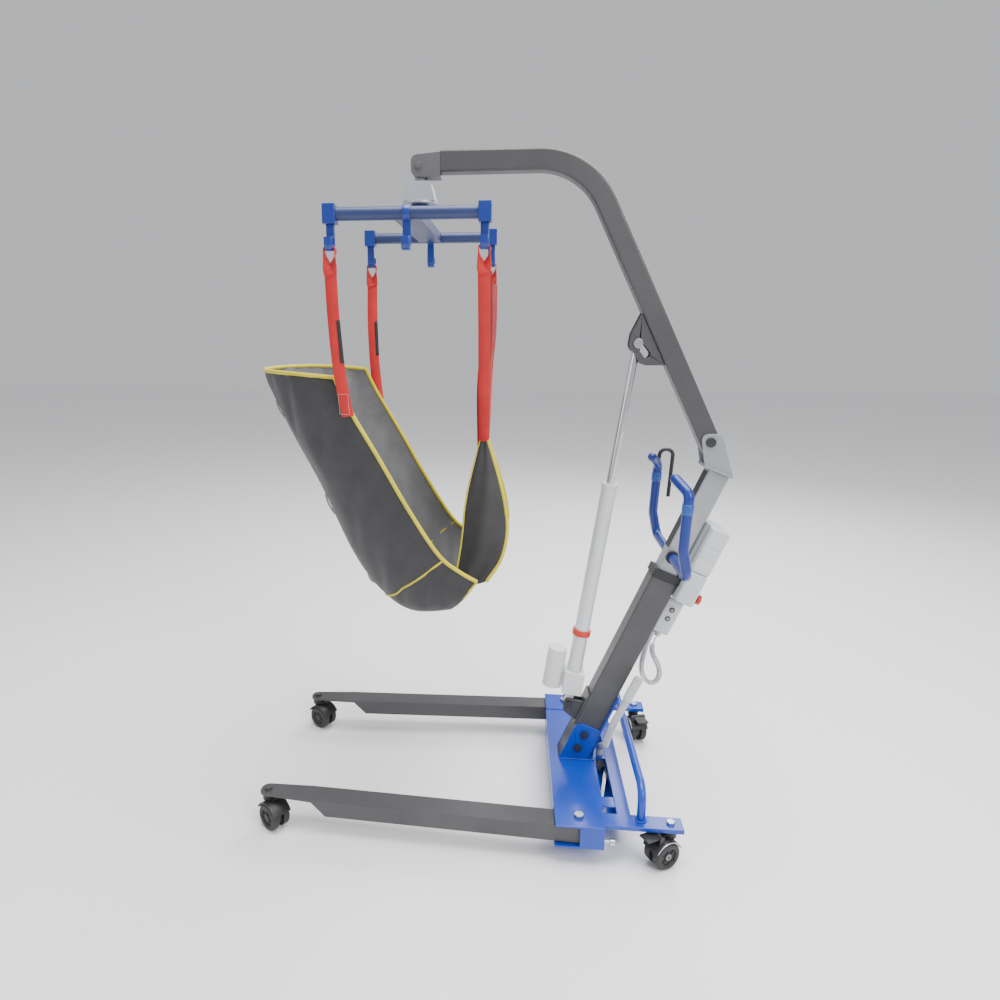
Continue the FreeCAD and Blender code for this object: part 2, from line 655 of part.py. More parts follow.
def brake_pedal(tag, placement):
    """Foot pedal hinged on the castor's hood; pressing it down locks the wheels."""
    at_x = "castor_trail + 20"
    z = "2 * wheel_radius + 17"
    tread = box(f"pedal_tread_{tag}", "36", "34", "4", (f"{at_x} + 6", "-17", f"{z} - 2"))
    barrel = pin(f"pedal_barrel_{tag}", "6", "34", (at_x, "0", z))
    bore = pin(f"pedal_bore_{tag}", "2.5 + run_clearance", "40", (at_x, "0", z))
    as_part(f"brake_pedal_{tag}", cut(f"pedal_cut_{tag}", fuse(f"pedal_{tag}", tread, barrel), bore),
            placement)
    lugs = []
    for side, sign in SIDES:
        lug = box(f"pedal_lug_{tag}_{side}", "12", "4", f"{z} + 5 - (wheel_radius + wheel_radius)",
                  (f"{at_x} - 6", "17.6" if sign > 0 else "-21.6", "2 * wheel_radius"))
        lugs.append(lug)
    hinge_pin = pin(f"pedal_pin_{tag}", "2.5", "43.2", (at_x, "0", z))
    ring = pin(f"pedal_trim_{tag}", "wheel_radius + 6", "60", ("castor_trail", "0", "wheel_radius"))
    whole = cut(f"pedal_mount_cut_{tag}", fuse(f"pedal_mount_{tag}", hinge_pin, *lugs), ring)
    as_part(f"brake_mount_{tag}", whole, placement)


# ------------------------------------------------------------------ legs


def leg_frame(sign):
    pivot = Vector(size.leg_pivot_x, sign * size.leg_pivot_y, 0)
    return Placement(pivot, Rotation(Vector(0, 0, 1), sign * size.leg_toe_angle))


def front_castor_place(sign):
    return leg_frame(sign).multVec(Vector(-size.leg_reach, 0, 0))


def leg(side, sign):
    """Box tube with its front underside mitred away to a flat tongue. Drawn along -X from its pivot."""
    back, front = size.leg_tail, size.tongue_length
    top = size.leg_bottom + size.leg_height
    mitre = size.leg_height - size.tongue_thickness
    tip = -(size.leg_reach - front + 20)
    outline = [flat(back, size.leg_bottom), flat(back, top), flat(tip, top),
               flat(tip, top - size.tongue_thickness), flat(tip + mitre, size.leg_bottom)]
    outer = plate(f"leg_outer_{side}", "XZ_Plane", closed(outline, 0), "leg_width")
    wall = size.leg_wall
    hollow = [flat(back + 1, size.leg_bottom + wall), flat(back + 1, top - wall),
              flat(tip + 2 * wall, top - wall - size.tongue_thickness / 2),
              flat(tip + mitre + wall, size.leg_bottom + wall)]
    inner = plate(f"leg_inner_{side}", "XZ_Plane", closed(hollow, 0), "leg_width - 2 * leg_wall")
    shell = cut(f"leg_shell_{side}", outer, inner)
    half = size.tongue_width / 2
    end = -size.leg_reach - half + 4
    tongue_runs = closed([flat(tip + 14, -size.leg_width / 2), flat(tip + 14, size.leg_width / 2),
                          flat(tip - 8, size.leg_width / 2), flat(end + half, half), flat(end, half),
                          flat(end, -half), flat(end + half, -half), flat(tip - 8, -size.leg_width / 2)],
                         [0, 0, 0, 0, half - 4, half - 4, 0, 0])
    tongue = plate(f"leg_tongue_{side}", "XY_Plane", tongue_runs, "tongue_thickness",
                   (), top - size.tongue_thickness, False)
    bush = rod(f"leg_bush_{side}", "leg_pivot_radius + 6", "leg_height", ("0", "0", "leg_bottom"))
    bore = rod(f"leg_bore_{side}", "leg_pivot_radius + run_clearance", "2 * leg_height",
               ("0", "0", "leg_bottom - leg_height / 2"))
    stem_hole = rod(f"leg_stem_hole_{side}", "castor_stem_radius", "4 * tongue_thickness",
                    ("-leg_reach", "0", "castor_height - tongue_thickness"))
    arm = box(f"leg_arm_{side}", "tail_arm", "20", "6",
              ("leg_pivot_radius + 2", "-10", "rod_z - rod_thickness / 2 - body_clearance - 6"))
    arm_pin = rod(f"leg_arm_pin_{side}", "rod_pin_radius", "rod_thickness + 2 * body_clearance + 9",
                  ("tail_arm", "0", "rod_z - rod_thickness / 2 - body_clearance - 6"))
    arm_head = rod(f"leg_arm_head_{side}", "rod_pin_radius + 7", "3",
                   ("tail_arm", "0", "rod_z + rod_thickness / 2 + body_clearance"))
    solid = fuse(f"leg_solid_{side}", shell, tongue, bush, arm, arm_pin, arm_head)
    as_part(f"leg_{side}", cut(f"leg_cut_{side}", solid, bore, stem_hole), leg_frame(sign))


def front_castor_stem(side, sign):
    bolt = castor_stem(f"front_{side}", "-leg_reach", "0", "(leg_bottom + leg_height - castor_height)")
    as_part(f"castor_stem_front_{side}", group(f"front_stem_group_{side}", bolt), leg_frame(sign))


# ------------------------------------------------------------------ leg spreading linkage


def spread_lever():
    """Hand lever behind the mast. Its upright foot turns in the deck and carries the crank."""
    x, top = size.lever_x, size.deck_top
    base = size.tray_bottom + size.deck_thickness + size.body_clearance
    points = [Vector(x, 0, base), Vector(x, 0, top + 26), Vector(x + 6, -54, top + 62),
              Vector(x + 22, -62, top + 130), Vector(size.lever_end_x, -62, size.lever_end_z)]
    tube = swept("lever_tube", points, [18, 18, 40], size.lever_radius)
    crank = plate("crank_plate", "XY_Plane",
                  closed([flat(x - size.crank_arm - 10, -10), flat(x + size.crank_arm + 10, -10),
                          flat(x + size.crank_arm + 10, 10), flat(x - size.crank_arm - 10, 10)], 9),
                  "6", (), size.rod_z - size.rod_thickness / 2 - size.body_clearance - 6, False)
    pins = [rod(f"crank_pin_{side}", "rod_pin_radius", "rod_thickness + 2 * body_clearance + 2",
                (f"lever_x + {sign} * crank_arm", "0", "rod_z - rod_thickness / 2 - body_clearance - 2"))
            for side, sign in SIDES]
    as_part("spread_lever", fuse("spread_lever_solid", tube, crank, *pins))
    grip_start = points[-1]
    heading = (points[-1] - points[-2]).normalize()
    grip = swept("lever_grip_solid", [grip_start - heading * 70, grip_start + heading * 3], [],
                 size.lever_radius + 3, 0)
    hollow = swept("lever_grip_hollow", [grip_start - heading * 71, grip_start], [], size.lever_radius, 0)
    as_part("lever_grip", cut("lever_grip_cut", grip, hollow))


def tie_rod(side, sign):
    """Flat-eyed rod from a crank pin to the arm behind a leg's pivot. The leg's eye is a slot."""
    arm_end = leg_frame(sign).multVec(Vector(size.tail_arm, 0, 0))
    start = Vector(size.lever_x - sign * size.crank_arm, 0, 0)
    end = Vector(arm_end.x, arm_end.y, 0)
    length = (end - start).Length
    turn = math.degrees(math.atan2(end.y - start.y, end.x - start.x))
    low = "rod_z - rod_thickness / 2"
    bar = box(f"rod_bar_{side}", f"{length}", "10", "rod_thickness", ("0", "-5", low))
    eye = rod(f"rod_eye_{side}", "rod_pin_radius + 4", "rod_thickness", ("0", "0", low))
    slot_eye = rod(f"rod_slot_eye_{side}", "rod_pin_radius + 10", "rod_thickness", (f"{length}", "0", low))
    hole = rod(f"rod_hole_{side}", "rod_pin_radius + run_clearance", "40", ("0", "0", f"{low} - 10"))
    slot = rod(f"rod_slot_{side}", "rod_pin_radius + rod_slack", "40", (f"{length}", "0", f"{low} - 10"))
    whole = cut(f"tie_rod_cut_{side}", fuse(f"tie_rod_solid_{side}", bar, eye, slot_eye), hole, slot)
    as_part(f"tie_rod_{side}", whole, Placement(start, Rotation(Vector(0, 0, 1), turn)))


# ------------------------------------------------------------------ mast


def mast_box(name, depth, width, length, along, across="0"):
    """A box centred on the mast's axis, drawn in the mast's own frame."""
    return box(name, depth, width, length, (f"{across} - ({depth}) / 2", f"-({width}) / 2", along))


def mast_tubes():
    outer = mast_box("mast_outer", "mast_depth", "mast_width", "mast_lower_length + 40", "-40")
    inner = mast_box("mast_inner", "mast_depth - 2 * mast_wall", "mast_width - 2 * mast_wall",
                     "mast_lower_length + 80", "-60")
    tube = cut("mast_lower_tube", outer, inner)
    tube.Placement = MAST_FRAME
    floor = box("mast_floor", "400", "200", "200", ("mast_foot_x - 200", "-100", "deck_top - 200"))
    holes = [pin(f"mast_bolt_hole_{i}", "foot_bolt_radius", "2 * mast_width", (f"{at.x}", "0", f"{at.y}"))
             for i, at in enumerate(foot_bolt_points())]
    bar_hole = pin("mast_bar_hole", "handle_radius", "2 * mast_width", ("handle_x", "0", "handle_z"))
    as_part("mast_lower", cut("mast_lower_cut", tube, floor, *holes))

    start = "mast_lower_length - mast_insert"
    outer = mast_box("upper_outer", "upper_depth", "upper_width", f"mast_length - ({start})", start)
    inner = mast_box("upper_inner", "upper_depth - 2 * upper_wall", "upper_width - 2 * upper_wall",
                     "2 * mast_length", "0")
    tube = cut("mast_upper_tube", outer, inner)
    tube.Placement = MAST_FRAME
    as_part("mast_upper", cut("mast_upper_cut", tube, bar_hole))


def mast_collar():
    """Collar on the lower tube's end, with a skirt that fills the gap between the tubes."""
    rim = mast_box("collar_rim", "mast_depth + 6", "mast_width + 6", "22", "mast_lower_length")
    skirt = mast_box("collar_skirt", "mast_depth - 2 * mast_wall", "mast_width - 2 * mast_wall", "60",
                     "mast_lower_length - 60")
    hole = mast_box("collar_hole", "upper_depth", "upper_width", "200", "mast_lower_length - 100")
    as_part("mast_collar", cut("mast_collar_cut", fuse("collar_solid", rim, skirt), hole), MAST_FRAME)


def foot_bolt_points():
    return [mast_point(42, 0), mast_point(88, 0)]


def mast_foot():
    """Bracket welded on the deck: a back plate up the mast's rear face and two low cheeks."""
    rear = size.mast_depth / 2
    lean = math.tan(LEAN)
    thick = size.foot_plate
    back = plate("foot_back", "XZ_Plane",
                 closed([mast_point(rear * lean, rear), mast_point((rear + thick) * lean, rear + thick),
                         mast_point(235, rear + thick), mast_point(235, rear)], 0),
                 "mast_width + 2 * foot_plate")
    rib = plate("foot_rib", "XZ_Plane",
                closed([mast_point((rear + thick) * lean, rear + thick),
                        flat(size.slot_front - 2, size.deck_top),
                        mast_point(110, rear + thick)], 0), "8")
    cheeks = []
    for side, sign in SIDES:
        outline = closed([mast_point(-rear * lean, -rear), mast_point((rear + thick) * lean, rear + thick),
                          mast_point(118, rear + thick), mast_point(118, -rear)], [0, 0, 0, 24])
        cheek = plate(f"foot_cheek_{side}", "XZ_Plane", outline, "foot_plate")
        put(cheek, ("0", f"{sign} * (mast_width + foot_plate) / 2", "0"))
        cheeks.append(cheek)
    holes = [pin(f"foot_hole_{i}", "foot_bolt_radius", "4 * mast_width", (f"{at.x}", "0", f"{at.y}"))
             for i, at in enumerate(foot_bolt_points())]
    as_part("mast_foot_bracket", cut("mast_foot_cut", fuse("mast_foot_solid", back, rib, *cheeks), *holes))
    bolts = []
    for i, at in enumerate(foot_bolt_points()):
        where = (f"{at.x}", "0", f"{at.y}")
        shank = pin(f"foot_shank_{i}", "foot_bolt_radius", "mast_width + 2 * foot_plate + 20", where)
        caps = [pin(f"foot_cap_{i}_{side}", "1.9 * foot_bolt_radius", "7",
                    (where[0], f"{sign} * (mast_width / 2 + foot_plate + 3.5)", where[2]))
                for side, sign in SIDES]
        bolts.append(fuse(f"foot_bolt_{i}", shank, *caps))
    as_part("mast_foot_bolts", group("mast_foot_bolt_pair", *bolts))


def mast_head():
    """Cap on the mast with two cheeks that carry the boom pivot."""
    bare = size.mast_length
    front, rear = -size.upper_depth / 2 - 19, size.upper_depth / 2 + 3
    pivot = BOOM_PIVOT
    cheeks = []
    for side, sign in SIDES:
        outline = closed([mast_point(bare + 7, front), mast_point(bare + 7, rear),
                          flat(pivot.x + 27, pivot.y + 22), flat(pivot.x - 26, pivot.y + 22)],
                         [0, 0, 16, 16])
        cheek = plate(f"head_cheek_{side}", "XZ_Plane", outline, "head_plate")
        put(cheek, ("0", f"{sign} * (boom_width / 2 + body_clearance + head_plate / 2)", "0"))
        cheeks.append(cheek)
    hole = pin("head_hole", "boom_pin_radius", "6 * head_plate + boom_width",
               ("boom_pivot_x", "0", "boom_pivot_z"))
    base = plate("head_base", "XZ_Plane",
                 closed([mast_point(bare, front), mast_point(bare, rear),
                         mast_point(bare + 7, rear), mast_point(bare + 7, front)], 0),
                 "boom_width + 2 * body_clearance + 2 * head_plate + 10")
    as_part("mast_head", cut("mast_head_cut", fuse("mast_head_solid", base, *cheeks), hole))
    pivot_pin = pin("boom_pivot_shank", "boom_pin_radius",
                    "boom_width + 2 * body_clearance + 2 * head_plate + 8",
                    ("boom_pivot_x", "0", "boom_pivot_z"))
    caps = [pin(f"boom_pin_cap_{side}", "1.6 * boom_pin_radius", "5",
                ("boom_pivot_x", f"{sign} * (boom_width / 2 + body_clearance + head_plate + 2.5)",
                 "boom_pivot_z"))
            for side, sign in SIDES]
    as_part("boom_pivot_pin", fuse("boom_pivot_pin_solid", pivot_pin, *caps))


# ------------------------------------------------------------------ push handles


def push_handles():
    bar = pin("handle_bar_solid", "handle_radius", "2 * handle_half_width - 60",
              ("handle_x", "0", "handle_z"))
    as_part("handle_crossbar", group("handle_crossbar_group", bar))
    bushes = []
    for side, sign in SIDES:
        at = ("handle_x", f"{sign} * (upper_width / 2 + 5)", "handle_z")
        ring = pin(f"bush_ring_{side}", "handle_radius + 5", "10", at)
        hole = pin(f"bush_hole_{side}", "handle_radius", "12", at)
        bushes.append(cut(f"bush_{side}", ring, hole))
    as_part("crossbar_bushes", group("crossbar_bush_pair", *bushes))
    x, z, half = size.handle_x, size.handle_z, size.handle_half_width
    top = z + size.handle_rise
    for side, sign in SIDES:
        points = [Vector(x, sign * (half - 30), z), Vector(x, sign * half, z - 2),
                  Vector(x - 16, sign * (half + 2), z + 70), Vector(x - 12, sign * half, top - 10),
                  Vector(x - 38, sign * (half - 44), top + 18)]
        tube = swept(f"handle_tube_{side}", points, [26, 60, 24], size.handle_radius)
        tip = doc.addObject("Part::Sphere", f"handle_tip_{side}")
        bind(tip, Radius="handle_radius")
        tip.Placement.Base = points[-1]
        handle = as_part(f"push_handle_{side}", fuse(f"push_handle_solid_{side}", tube, tip))
        if side == "right":
            handle_hook(handle, Vector(x - 12, half, top))


def handle_hook(handle, crest):
    """Rod bent into a hook at the top of the right handle, where a spare sling is hung."""
    rise, back, drop = 34, 42, 108
    points = [crest - Vector(0, 0, 16), crest + Vector(4, 0, rise), crest + Vector(back, 0, rise),
              crest + Vector(back - 6, 0, -drop)]
    rod_solid = swept("handle_hook_rod", points, [18, 18], size.handle_hook_radius)
    as_part("handle_hook", cut("handle_hook_cut", rod_solid, handle))


# ------------------------------------------------------------------ boom


def boom_tube():
    """Rectangular tube: level at the front, one long bend, then down to the pivot on the mast."""
    middle = size.boom_top - size.boom_height / 2
    corner_x = size.boom_pivot_x - (middle - size.boom_pivot_z) / math.tan(SLOPE)
    path = rounded([flat(size.boom_tube_end, middle), flat(corner_x, middle), boom_point(-24, 0)],
                   size.boom_bend_radius)
    wall = size.boom_wall
    outer = rectangle(size.boom_width, size.boom_height, 6, (0, middle))
    body = piped("boom_outer", "XZ_Plane", path, 0, "YZ_Plane", outer, size.boom_tube_end)
    inner = rectangle(size.boom_width - 2 * wall, size.boom_height - 2 * wall, 3, (0, middle))
    hollow = piped("boom_inner", "XZ_Plane", path, 0, "YZ_Plane", inner, size.boom_tube_end)
    at = ("boom_pivot_x", "0", "boom_pivot_z")
    bush = pin("boom_bush", "boom_pin_radius + 6", "boom_width", at)
    bore = pin("boom_bore", "boom_pin_radius + run_clearance", "2 * boom_width", at)
    tube = cut("boom_shell", body, hollow)
    as_part("boom_tube", cut("boom_tube_cut", fuse("boom_solid", tube, bush), bore))


def boom_tip():
    """Forked casting plugged into the boom's end. The hanger swings in its slot."""
    back, z = size.boom_tube_end, size.tip_pin_z
    top = z + 30
    outline = closed([flat(back, z - 28), flat(back, top), flat(size.tip_pin_x - 20, top - 6),
                      flat(size.tip_pin_x - 20, z - 27)], [2, 2, 16, 18])
    body = plate("tip_body", "XZ_Plane", outline, "boom_width + 4")
    plug = box("tip_plug", "36", "boom_width - 2 * boom_wall - 2", "boom_height - 2 * boom_wall - 2",
               ("boom_tube_end", "-boom_width / 2 + boom_wall + 1",
                "boom_top - boom_height + boom_wall + 1"))
    slot = box("tip_slot", "60", "hanger_eye + 2 * body_clearance", "80",
               ("tip_pin_x - 42", "-hanger_eye / 2 - body_clearance", "tip_pin_z - 60"))
    hole = pin("tip_hole", "tip_pin_radius", "2 * boom_width", ("tip_pin_x", "0", "tip_pin_z"))
    as_part("boom_tip", cut("boom_tip_cut", fuse("boom_tip_solid", body, plug), slot, hole))
    shank = pin("tip_shank", "tip_pin_radius", "boom_width + 12", ("tip_pin_x", "0", "tip_pin_z"))
    caps = [pin(f"tip_cap_{side}", "1.6 * tip_pin_radius", "3",
                ("tip_pin_x", f"{sign} * (boom_width / 2 + 3.5)", "tip_pin_z")) for side, sign in SIDES]
    as_part("hanger_pin", fuse("hanger_pin_solid", shank, *caps))


def boom_lug():
    """Two plates under the boom. The lifting rod's pin works in their anti-crush slot."""
    nose = size.boom_height / 2
    head = ACTUATOR_HEAD
    rel = Vector(head.x - size.boom_pivot_x, head.z - size.boom_pivot_z, 0)
    along = -rel.x * math.cos(SLOPE) + rel.y * math.sin(SLOPE)
    below = -rel.x * math.sin(SLOPE) - rel.y * math.cos(SLOPE)
    run = size.slot_run
    outline = closed([boom_point(along - run - 46, nose), boom_point(along - run - 20, below + 14),
                      boom_point(along + 4, below + 24), boom_point(along + 30, below + 6),
                      boom_point(along + 66, nose)], [0, 26, 20, 20, 0])
    angle = math.radians(size.slot_angle)
    width = size.slot_half_width
    start = flat(head.x - 3 * math.cos(angle), head.z - 3 * math.sin(angle))
    end = flat(head.x + run * math.cos(angle), head.z + run * math.sin(angle))
    across = flat(-math.sin(angle), math.cos(angle)) * (width + 0.001)
    shift = flat(-size.slot_shift * math.sin(angle), size.slot_shift * math.cos(angle))
    start, end = start + shift, end + shift
    slot_outline = closed([start + across - flat(math.cos(angle), math.sin(angle)) * width,
                           start - across - flat(math.cos(angle), math.sin(angle)) * width,
                           end - across + flat(math.cos(angle), math.sin(angle)) * width,
                           end + across + flat(math.cos(angle), math.sin(angle)) * width], width)
    plates = []
    for side, sign in SIDES:
        whole = plate(f"lug_plate_{side}", "XZ_Plane", outline, "lug_thickness")
        slot = plate(f"lug_slot_{side}", "XZ_Plane", slot_outline, "2 * lug_thickness")
        for body in (whole, slot):
            put(body, ("0", f"{sign} * (rod_eye_width / 2 + body_clearance + lug_thickness / 2)", "0"))
        plates.append(cut(f"lug_{side}", whole, slot))
    as_part("boom_lug", group("boom_lug_pair", *plates))


# ------------------------------------------------------------------ lifting actuator


def actuator_mount():
    """Bracket on the mast's front face with two ears for the actuator's lower pin."""
    foot = ACTUATOR_FOOT
    front = -size.mast_depth / 2
    ears = []
    for side, sign in SIDES:
        outline = closed([mast_point(112, front - 5), flat(foot.x - 16, foot.z - 24),
                          flat(foot.x - 14, foot.z + 20), mast_point(174, front - 5)], [0, 14, 14, 0])
        ear = plate(f"mount_ear_{side}", "XZ_Plane", outline, "6")
        put(ear, ("0", f"{sign} * (foot_eye_width / 2 + body_clearance + 3)", "0"))
        ears.append(ear)
    back = plate("mount_back", "XZ_Plane",
                 closed([mast_point(105, front), mast_point(105, front - 5),
                         mast_point(207, front - 5), mast_point(207, front)], 0), "mast_width")
    hole = pin("mount_hole", "actuator_pin_radius", "4 * mast_width",
               ("actuator_foot_x", "0", "actuator_foot_z"))
    as_part("actuator_mount", cut("actuator_mount_cut", fuse("actuator_mount_solid", back, *ears), hole))
    shank = pin("foot_pin_shank", "actuator_pin_radius", "foot_eye_width + 24",
                ("actuator_foot_x", "0", "actuator_foot_z"))
    caps = [pin(f"foot_pin_cap_{side}", "1.5 * actuator_pin_radius", "4",
                ("actuator_foot_x", f"{sign} * (foot_eye_width / 2 + 10.5)", "actuator_foot_z"))
            for side, sign in SIDES]
    as_part("actuator_foot_pin", fuse("actuator_foot_pin_solid", shank, *caps))


def actuator():
    """Gear housing, motor and outer tube tilt together; the chromed rod slides out of the tube."""
    collar = f"({ACTUATOR_LENGTH} - ram_exposed)"
    eye = pin("actuator_eye", "actuator_pin_radius + 8", "foot_eye_width", ("0", "0", "0"))
    neck = box("actuator_neck", "22", "foot_eye_width", "40", ("-11", "-foot_eye_width / 2", "0"))
    gears = box("actuator_gears", "56", "66", "gears_top - 36", ("-28", "-33", "36"))
    eye_bore = pin("actuator_eye_bore", "actuator_pin_radius + run_clearance", "100", ("0", "0", "0"))
    whole = cut("actuator_housing_cut", fuse("actuator_housing_solid", eye, neck, gears), eye_bore)
    as_part("actuator_housing", whole, ACTUATOR_FRAME)
    motor = rod("actuator_motor_solid", "27", "118", ("-58", "0", "44"))
    seat = box("actuator_motor_seat", "34", "80", "140", ("-28", "-40", "30"))
    as_part("actuator_motor", cut("actuator_motor_cut", motor, seat), ACTUATOR_FRAME)
    tube = rod("actuator_tube_solid", "actuator_tube_radius", f"{collar} - 12 - gears_top",
               ("0", "0", "gears_top"))
    bore = rod("actuator_tube_bore", "ram_radius + 5", f"{collar}", ("0", "0", "gears_top + 12"))
    as_part("actuator_tube", cut("actuator_tube_cut", tube, bore), ACTUATOR_FRAME)
    cap = rod("actuator_collar_cap", "actuator_tube_radius + 1.5", "12", ("0", "0", f"{collar} - 12"))
    spigot = rod("actuator_collar_spigot", "ram_radius + 5", "30", ("0", "0", f"{collar} - 42"))
    hole = rod("actuator_collar_hole", "ram_radius + run_clearance", "80", ("0", "0", f"{collar} - 60"))
    as_part("actuator_collar", cut("actuator_collar_cut", fuse("actuator_collar_solid", cap, spigot), hole),
            ACTUATOR_FRAME)
    ring = rod("release_ring_outer", "actuator_tube_radius + 5", "16", ("0", "0", "release_height"))
    inside = rod("release_ring_inner", "actuator_tube_radius", "20", ("0", "0", "release_height - 2"))
    as_part("release_ring", cut("release_ring_cut", ring, inside), ACTUATOR_FRAME)
    low = f"({collar} - 75)"
    ram = rod("ram", "ram_radius", f"{ACTUATOR_LENGTH} - 8 - {low}", ("0", "0", low))
    nut = rod("ram_nut", "ram_radius + 4", "26", ("0", "0", low))
    head = pin("ram_eye", "actuator_pin_radius + 8", "rod_eye_width", ("0", "0", f"{ACTUATOR_LENGTH}"))
    solid = fuse("lifting_rod_solid", ram, nut, head)
    outside = "rod_eye_width + 2 * (body_clearance + lug_thickness + body_clearance)"
    hole = pin("ram_pin_hole", "actuator_pin_radius", "rod_eye_width", ("0", "0", f"{ACTUATOR_LENGTH}"))
    as_part("lifting_rod", cut("lifting_rod_cut", solid, hole), ACTUATOR_FRAME)
    shank = pin("ram_pin_shank", "actuator_pin_radius", f"{outside} + 8", ("0", "0", f"{ACTUATOR_LENGTH}"))
    caps = [pin(f"ram_pin_cap_{side}", "actuator_pin_radius + 6", "4",
                ("0", f"{sign} * (({outside}) / 2 + 2)", f"{ACTUATOR_LENGTH}")) for side, sign in SIDES]
    as_part("rod_head_pin", fuse("rod_head_pin_solid", shank, *caps), ACTUATOR_FRAME)


# ------------------------------------------------------------------ hanger and spreader


def hanger():
    """Link that hangs from the boom's tip, and the housing of the swivel below it."""
    eye = pin("hanger_eye_solid", "tip_pin_radius + 9", "hanger_eye", ("tip_pin_x", "0", "tip_pin_z"))
    shank = box("hanger_shank", "24", "hanger_eye", "tip_pin_z - hub_top",
                ("tip_pin_x - 12", "-hanger_eye / 2", "hub_top"))
    bore = pin("hanger_bore", "tip_pin_radius + run_clearance", "60", ("tip_pin_x", "0", "tip_pin_z"))
    as_part("hanger_link", cut("hanger_link_cut", fuse("hanger_link_solid", eye, shank), bore))
    x = size.tip_pin_x
    top, low = size.hub_top, size.hub_bottom
    shape = closed([flat(x - 42, low), flat(x + 42, low), flat(x + 30, top), flat(x - 26, top)],
                   [3, 3, 9, 9])
    cover = plate("hub_cover", "XZ_Plane", shape, "62")
    hollow = rod("hub_bore", "swivel_radius + run_clearance", "hub_top - hub_bottom - 8",
                 ("tip_pin_x", "0", "hub_bottom"))
    as_part("hanger_hub", cut("hanger_hub_cut", cover, hollow))


def spreader():
    """H-shaped frame: a cross member on the swivel, two side bars and six hooks."""
    x, z = "tip_pin_x", "spreader_z"
    shaft = rod("swivel_solid", "swivel_radius", "hub_top - 10 - (spreader_z + 13)",
                (x, "0", "spreader_z + 13"))
    as_part("swivel_shaft", group("swivel_shaft_group", shaft))
    flange = rod("flange_solid", "44", "5", (x, "0", "hub_bottom - body_clearance - 5"))
    flange_hole = rod("flange_hole", "swivel_radius", "20", (x, "0", "hub_bottom - 12"))
    as_part("hub_flange", cut("hub_flange_cut", flange, flange_hole))
    arm = box("cross_arm", "62", "2 * spreader_half_width", "26",
              (f"{x} - 31", "-spreader_half_width", f"{z} - 13"))
    boss = doc.addObject("Part::Cone", "cross_boss")
    bind(boss, Radius1="30", Radius2="22", Height="hub_bottom - body_clearance - 5 - (spreader_z + 13)")
    put(boss, (x, "0", "spreader_z + 13"))
    boss_hole = rod("cross_boss_hole", "swivel_radius", "60", (x, "0", "spreader_z + 13"))
    trims = []
    for side, sign in SIDES:
        y = f"{sign} * spreader_half_width"
        trims.append(rod(f"cross_trim_{side}", "spreader_bar_radius", "200", (f"{x} - 100", y, z), "x"))
        trims.append(rod(f"band_room_{side}", "spreader_bar_radius + 4", "18", (f"{x} - 9", y, z), "x"))
    as_part("cross_member",
            cut("cross_member_cut", fuse("cross_member_solid", arm, boss), boss_hole, *trims))
    for side, sign in SIDES:
        y = f"{sign} * spreader_half_width"
        bar = rod(f"side_bar_solid_{side}", "spreader_bar_radius", "spreader_length - 30",
                  (f"{x} - spreader_length / 2 + 15", y, z), "x")
        as_part(f"side_bar_{side}", group(f"side_bar_group_{side}", bar))
        blocks = []
        for end, lean in (("front", -1), ("rear", 1)):
            block = box(f"block_{end}_{side}", "30", "36", "44",
                        (f"{x} + {lean} * spreader_length / 2 - 15", f"{y} - 18", f"{z} - 22"))
            blocks.append(block)
        as_part(f"end_blocks_{side}", group(f"end_block_pair_{side}", *blocks))
        hooks = [hook(f"{place}_{side}", sign, at) for place, at in hook_places()]
        as_part(f"sling_hooks_{side}", group(f"sling_hook_set_{side}", *hooks))


def hook_places():
    half = size.spreader_length / 2
    return (("front", size.tip_pin_x - half), ("middle", size.tip_pin_x), ("rear", size.tip_pin_x + half))


def hook(tag, sign, x):
    """J-shaped hook, open outwards, hanging below the side bar."""
    y0 = sign * size.spreader_half_width
    z0 = size.spreader_z
    low = z0 - size.hook_drop
    if "middle" in tag:
        top = z0 - size.spreader_bar_radius - 11
    else:
        top = z0 - 22
    runs = rounded([flat(y0, top), flat(y0, low), flat(y0 + sign * 26, low),
                    flat(y0 + sign * 26, low + 26)],
                   [12.9, 12.9])
    section = rectangle(size.hook_width - 6, 8, 3, (x, y0))
    body = piped(f"hook_{tag}", "YZ_Plane", runs, x, "XY_Plane", section, top)
    return body if "middle" not in tag else fuse(f"hook_with_band_{tag}", body, hook_band(tag, x, y0, z0))


def hook_band(tag, x, y, z):
    """Band that clamps a middle hook round the side bar."""
    outer = rod(f"band_outer_{tag}", "spreader_bar_radius + 4", "18", (f"{x - 9}", f"{y}", f"{z}"), "x")
    inner = rod(f"band_inner_{tag}", "spreader_bar_radius", "30", (f"{x - 15}", f"{y}", f"{z}"), "x")
    stub = box(f"band_stub_{tag}", "18", "8", "16",
               (f"{x - 9}", f"{y - 4}", f"{z - size.spreader_bar_radius - 18}"))
    return cut(f"band_{tag}", fuse(f"band_solid_{tag}", outer, stub), inner)


# ------------------------------------------------------------------ control box and handset


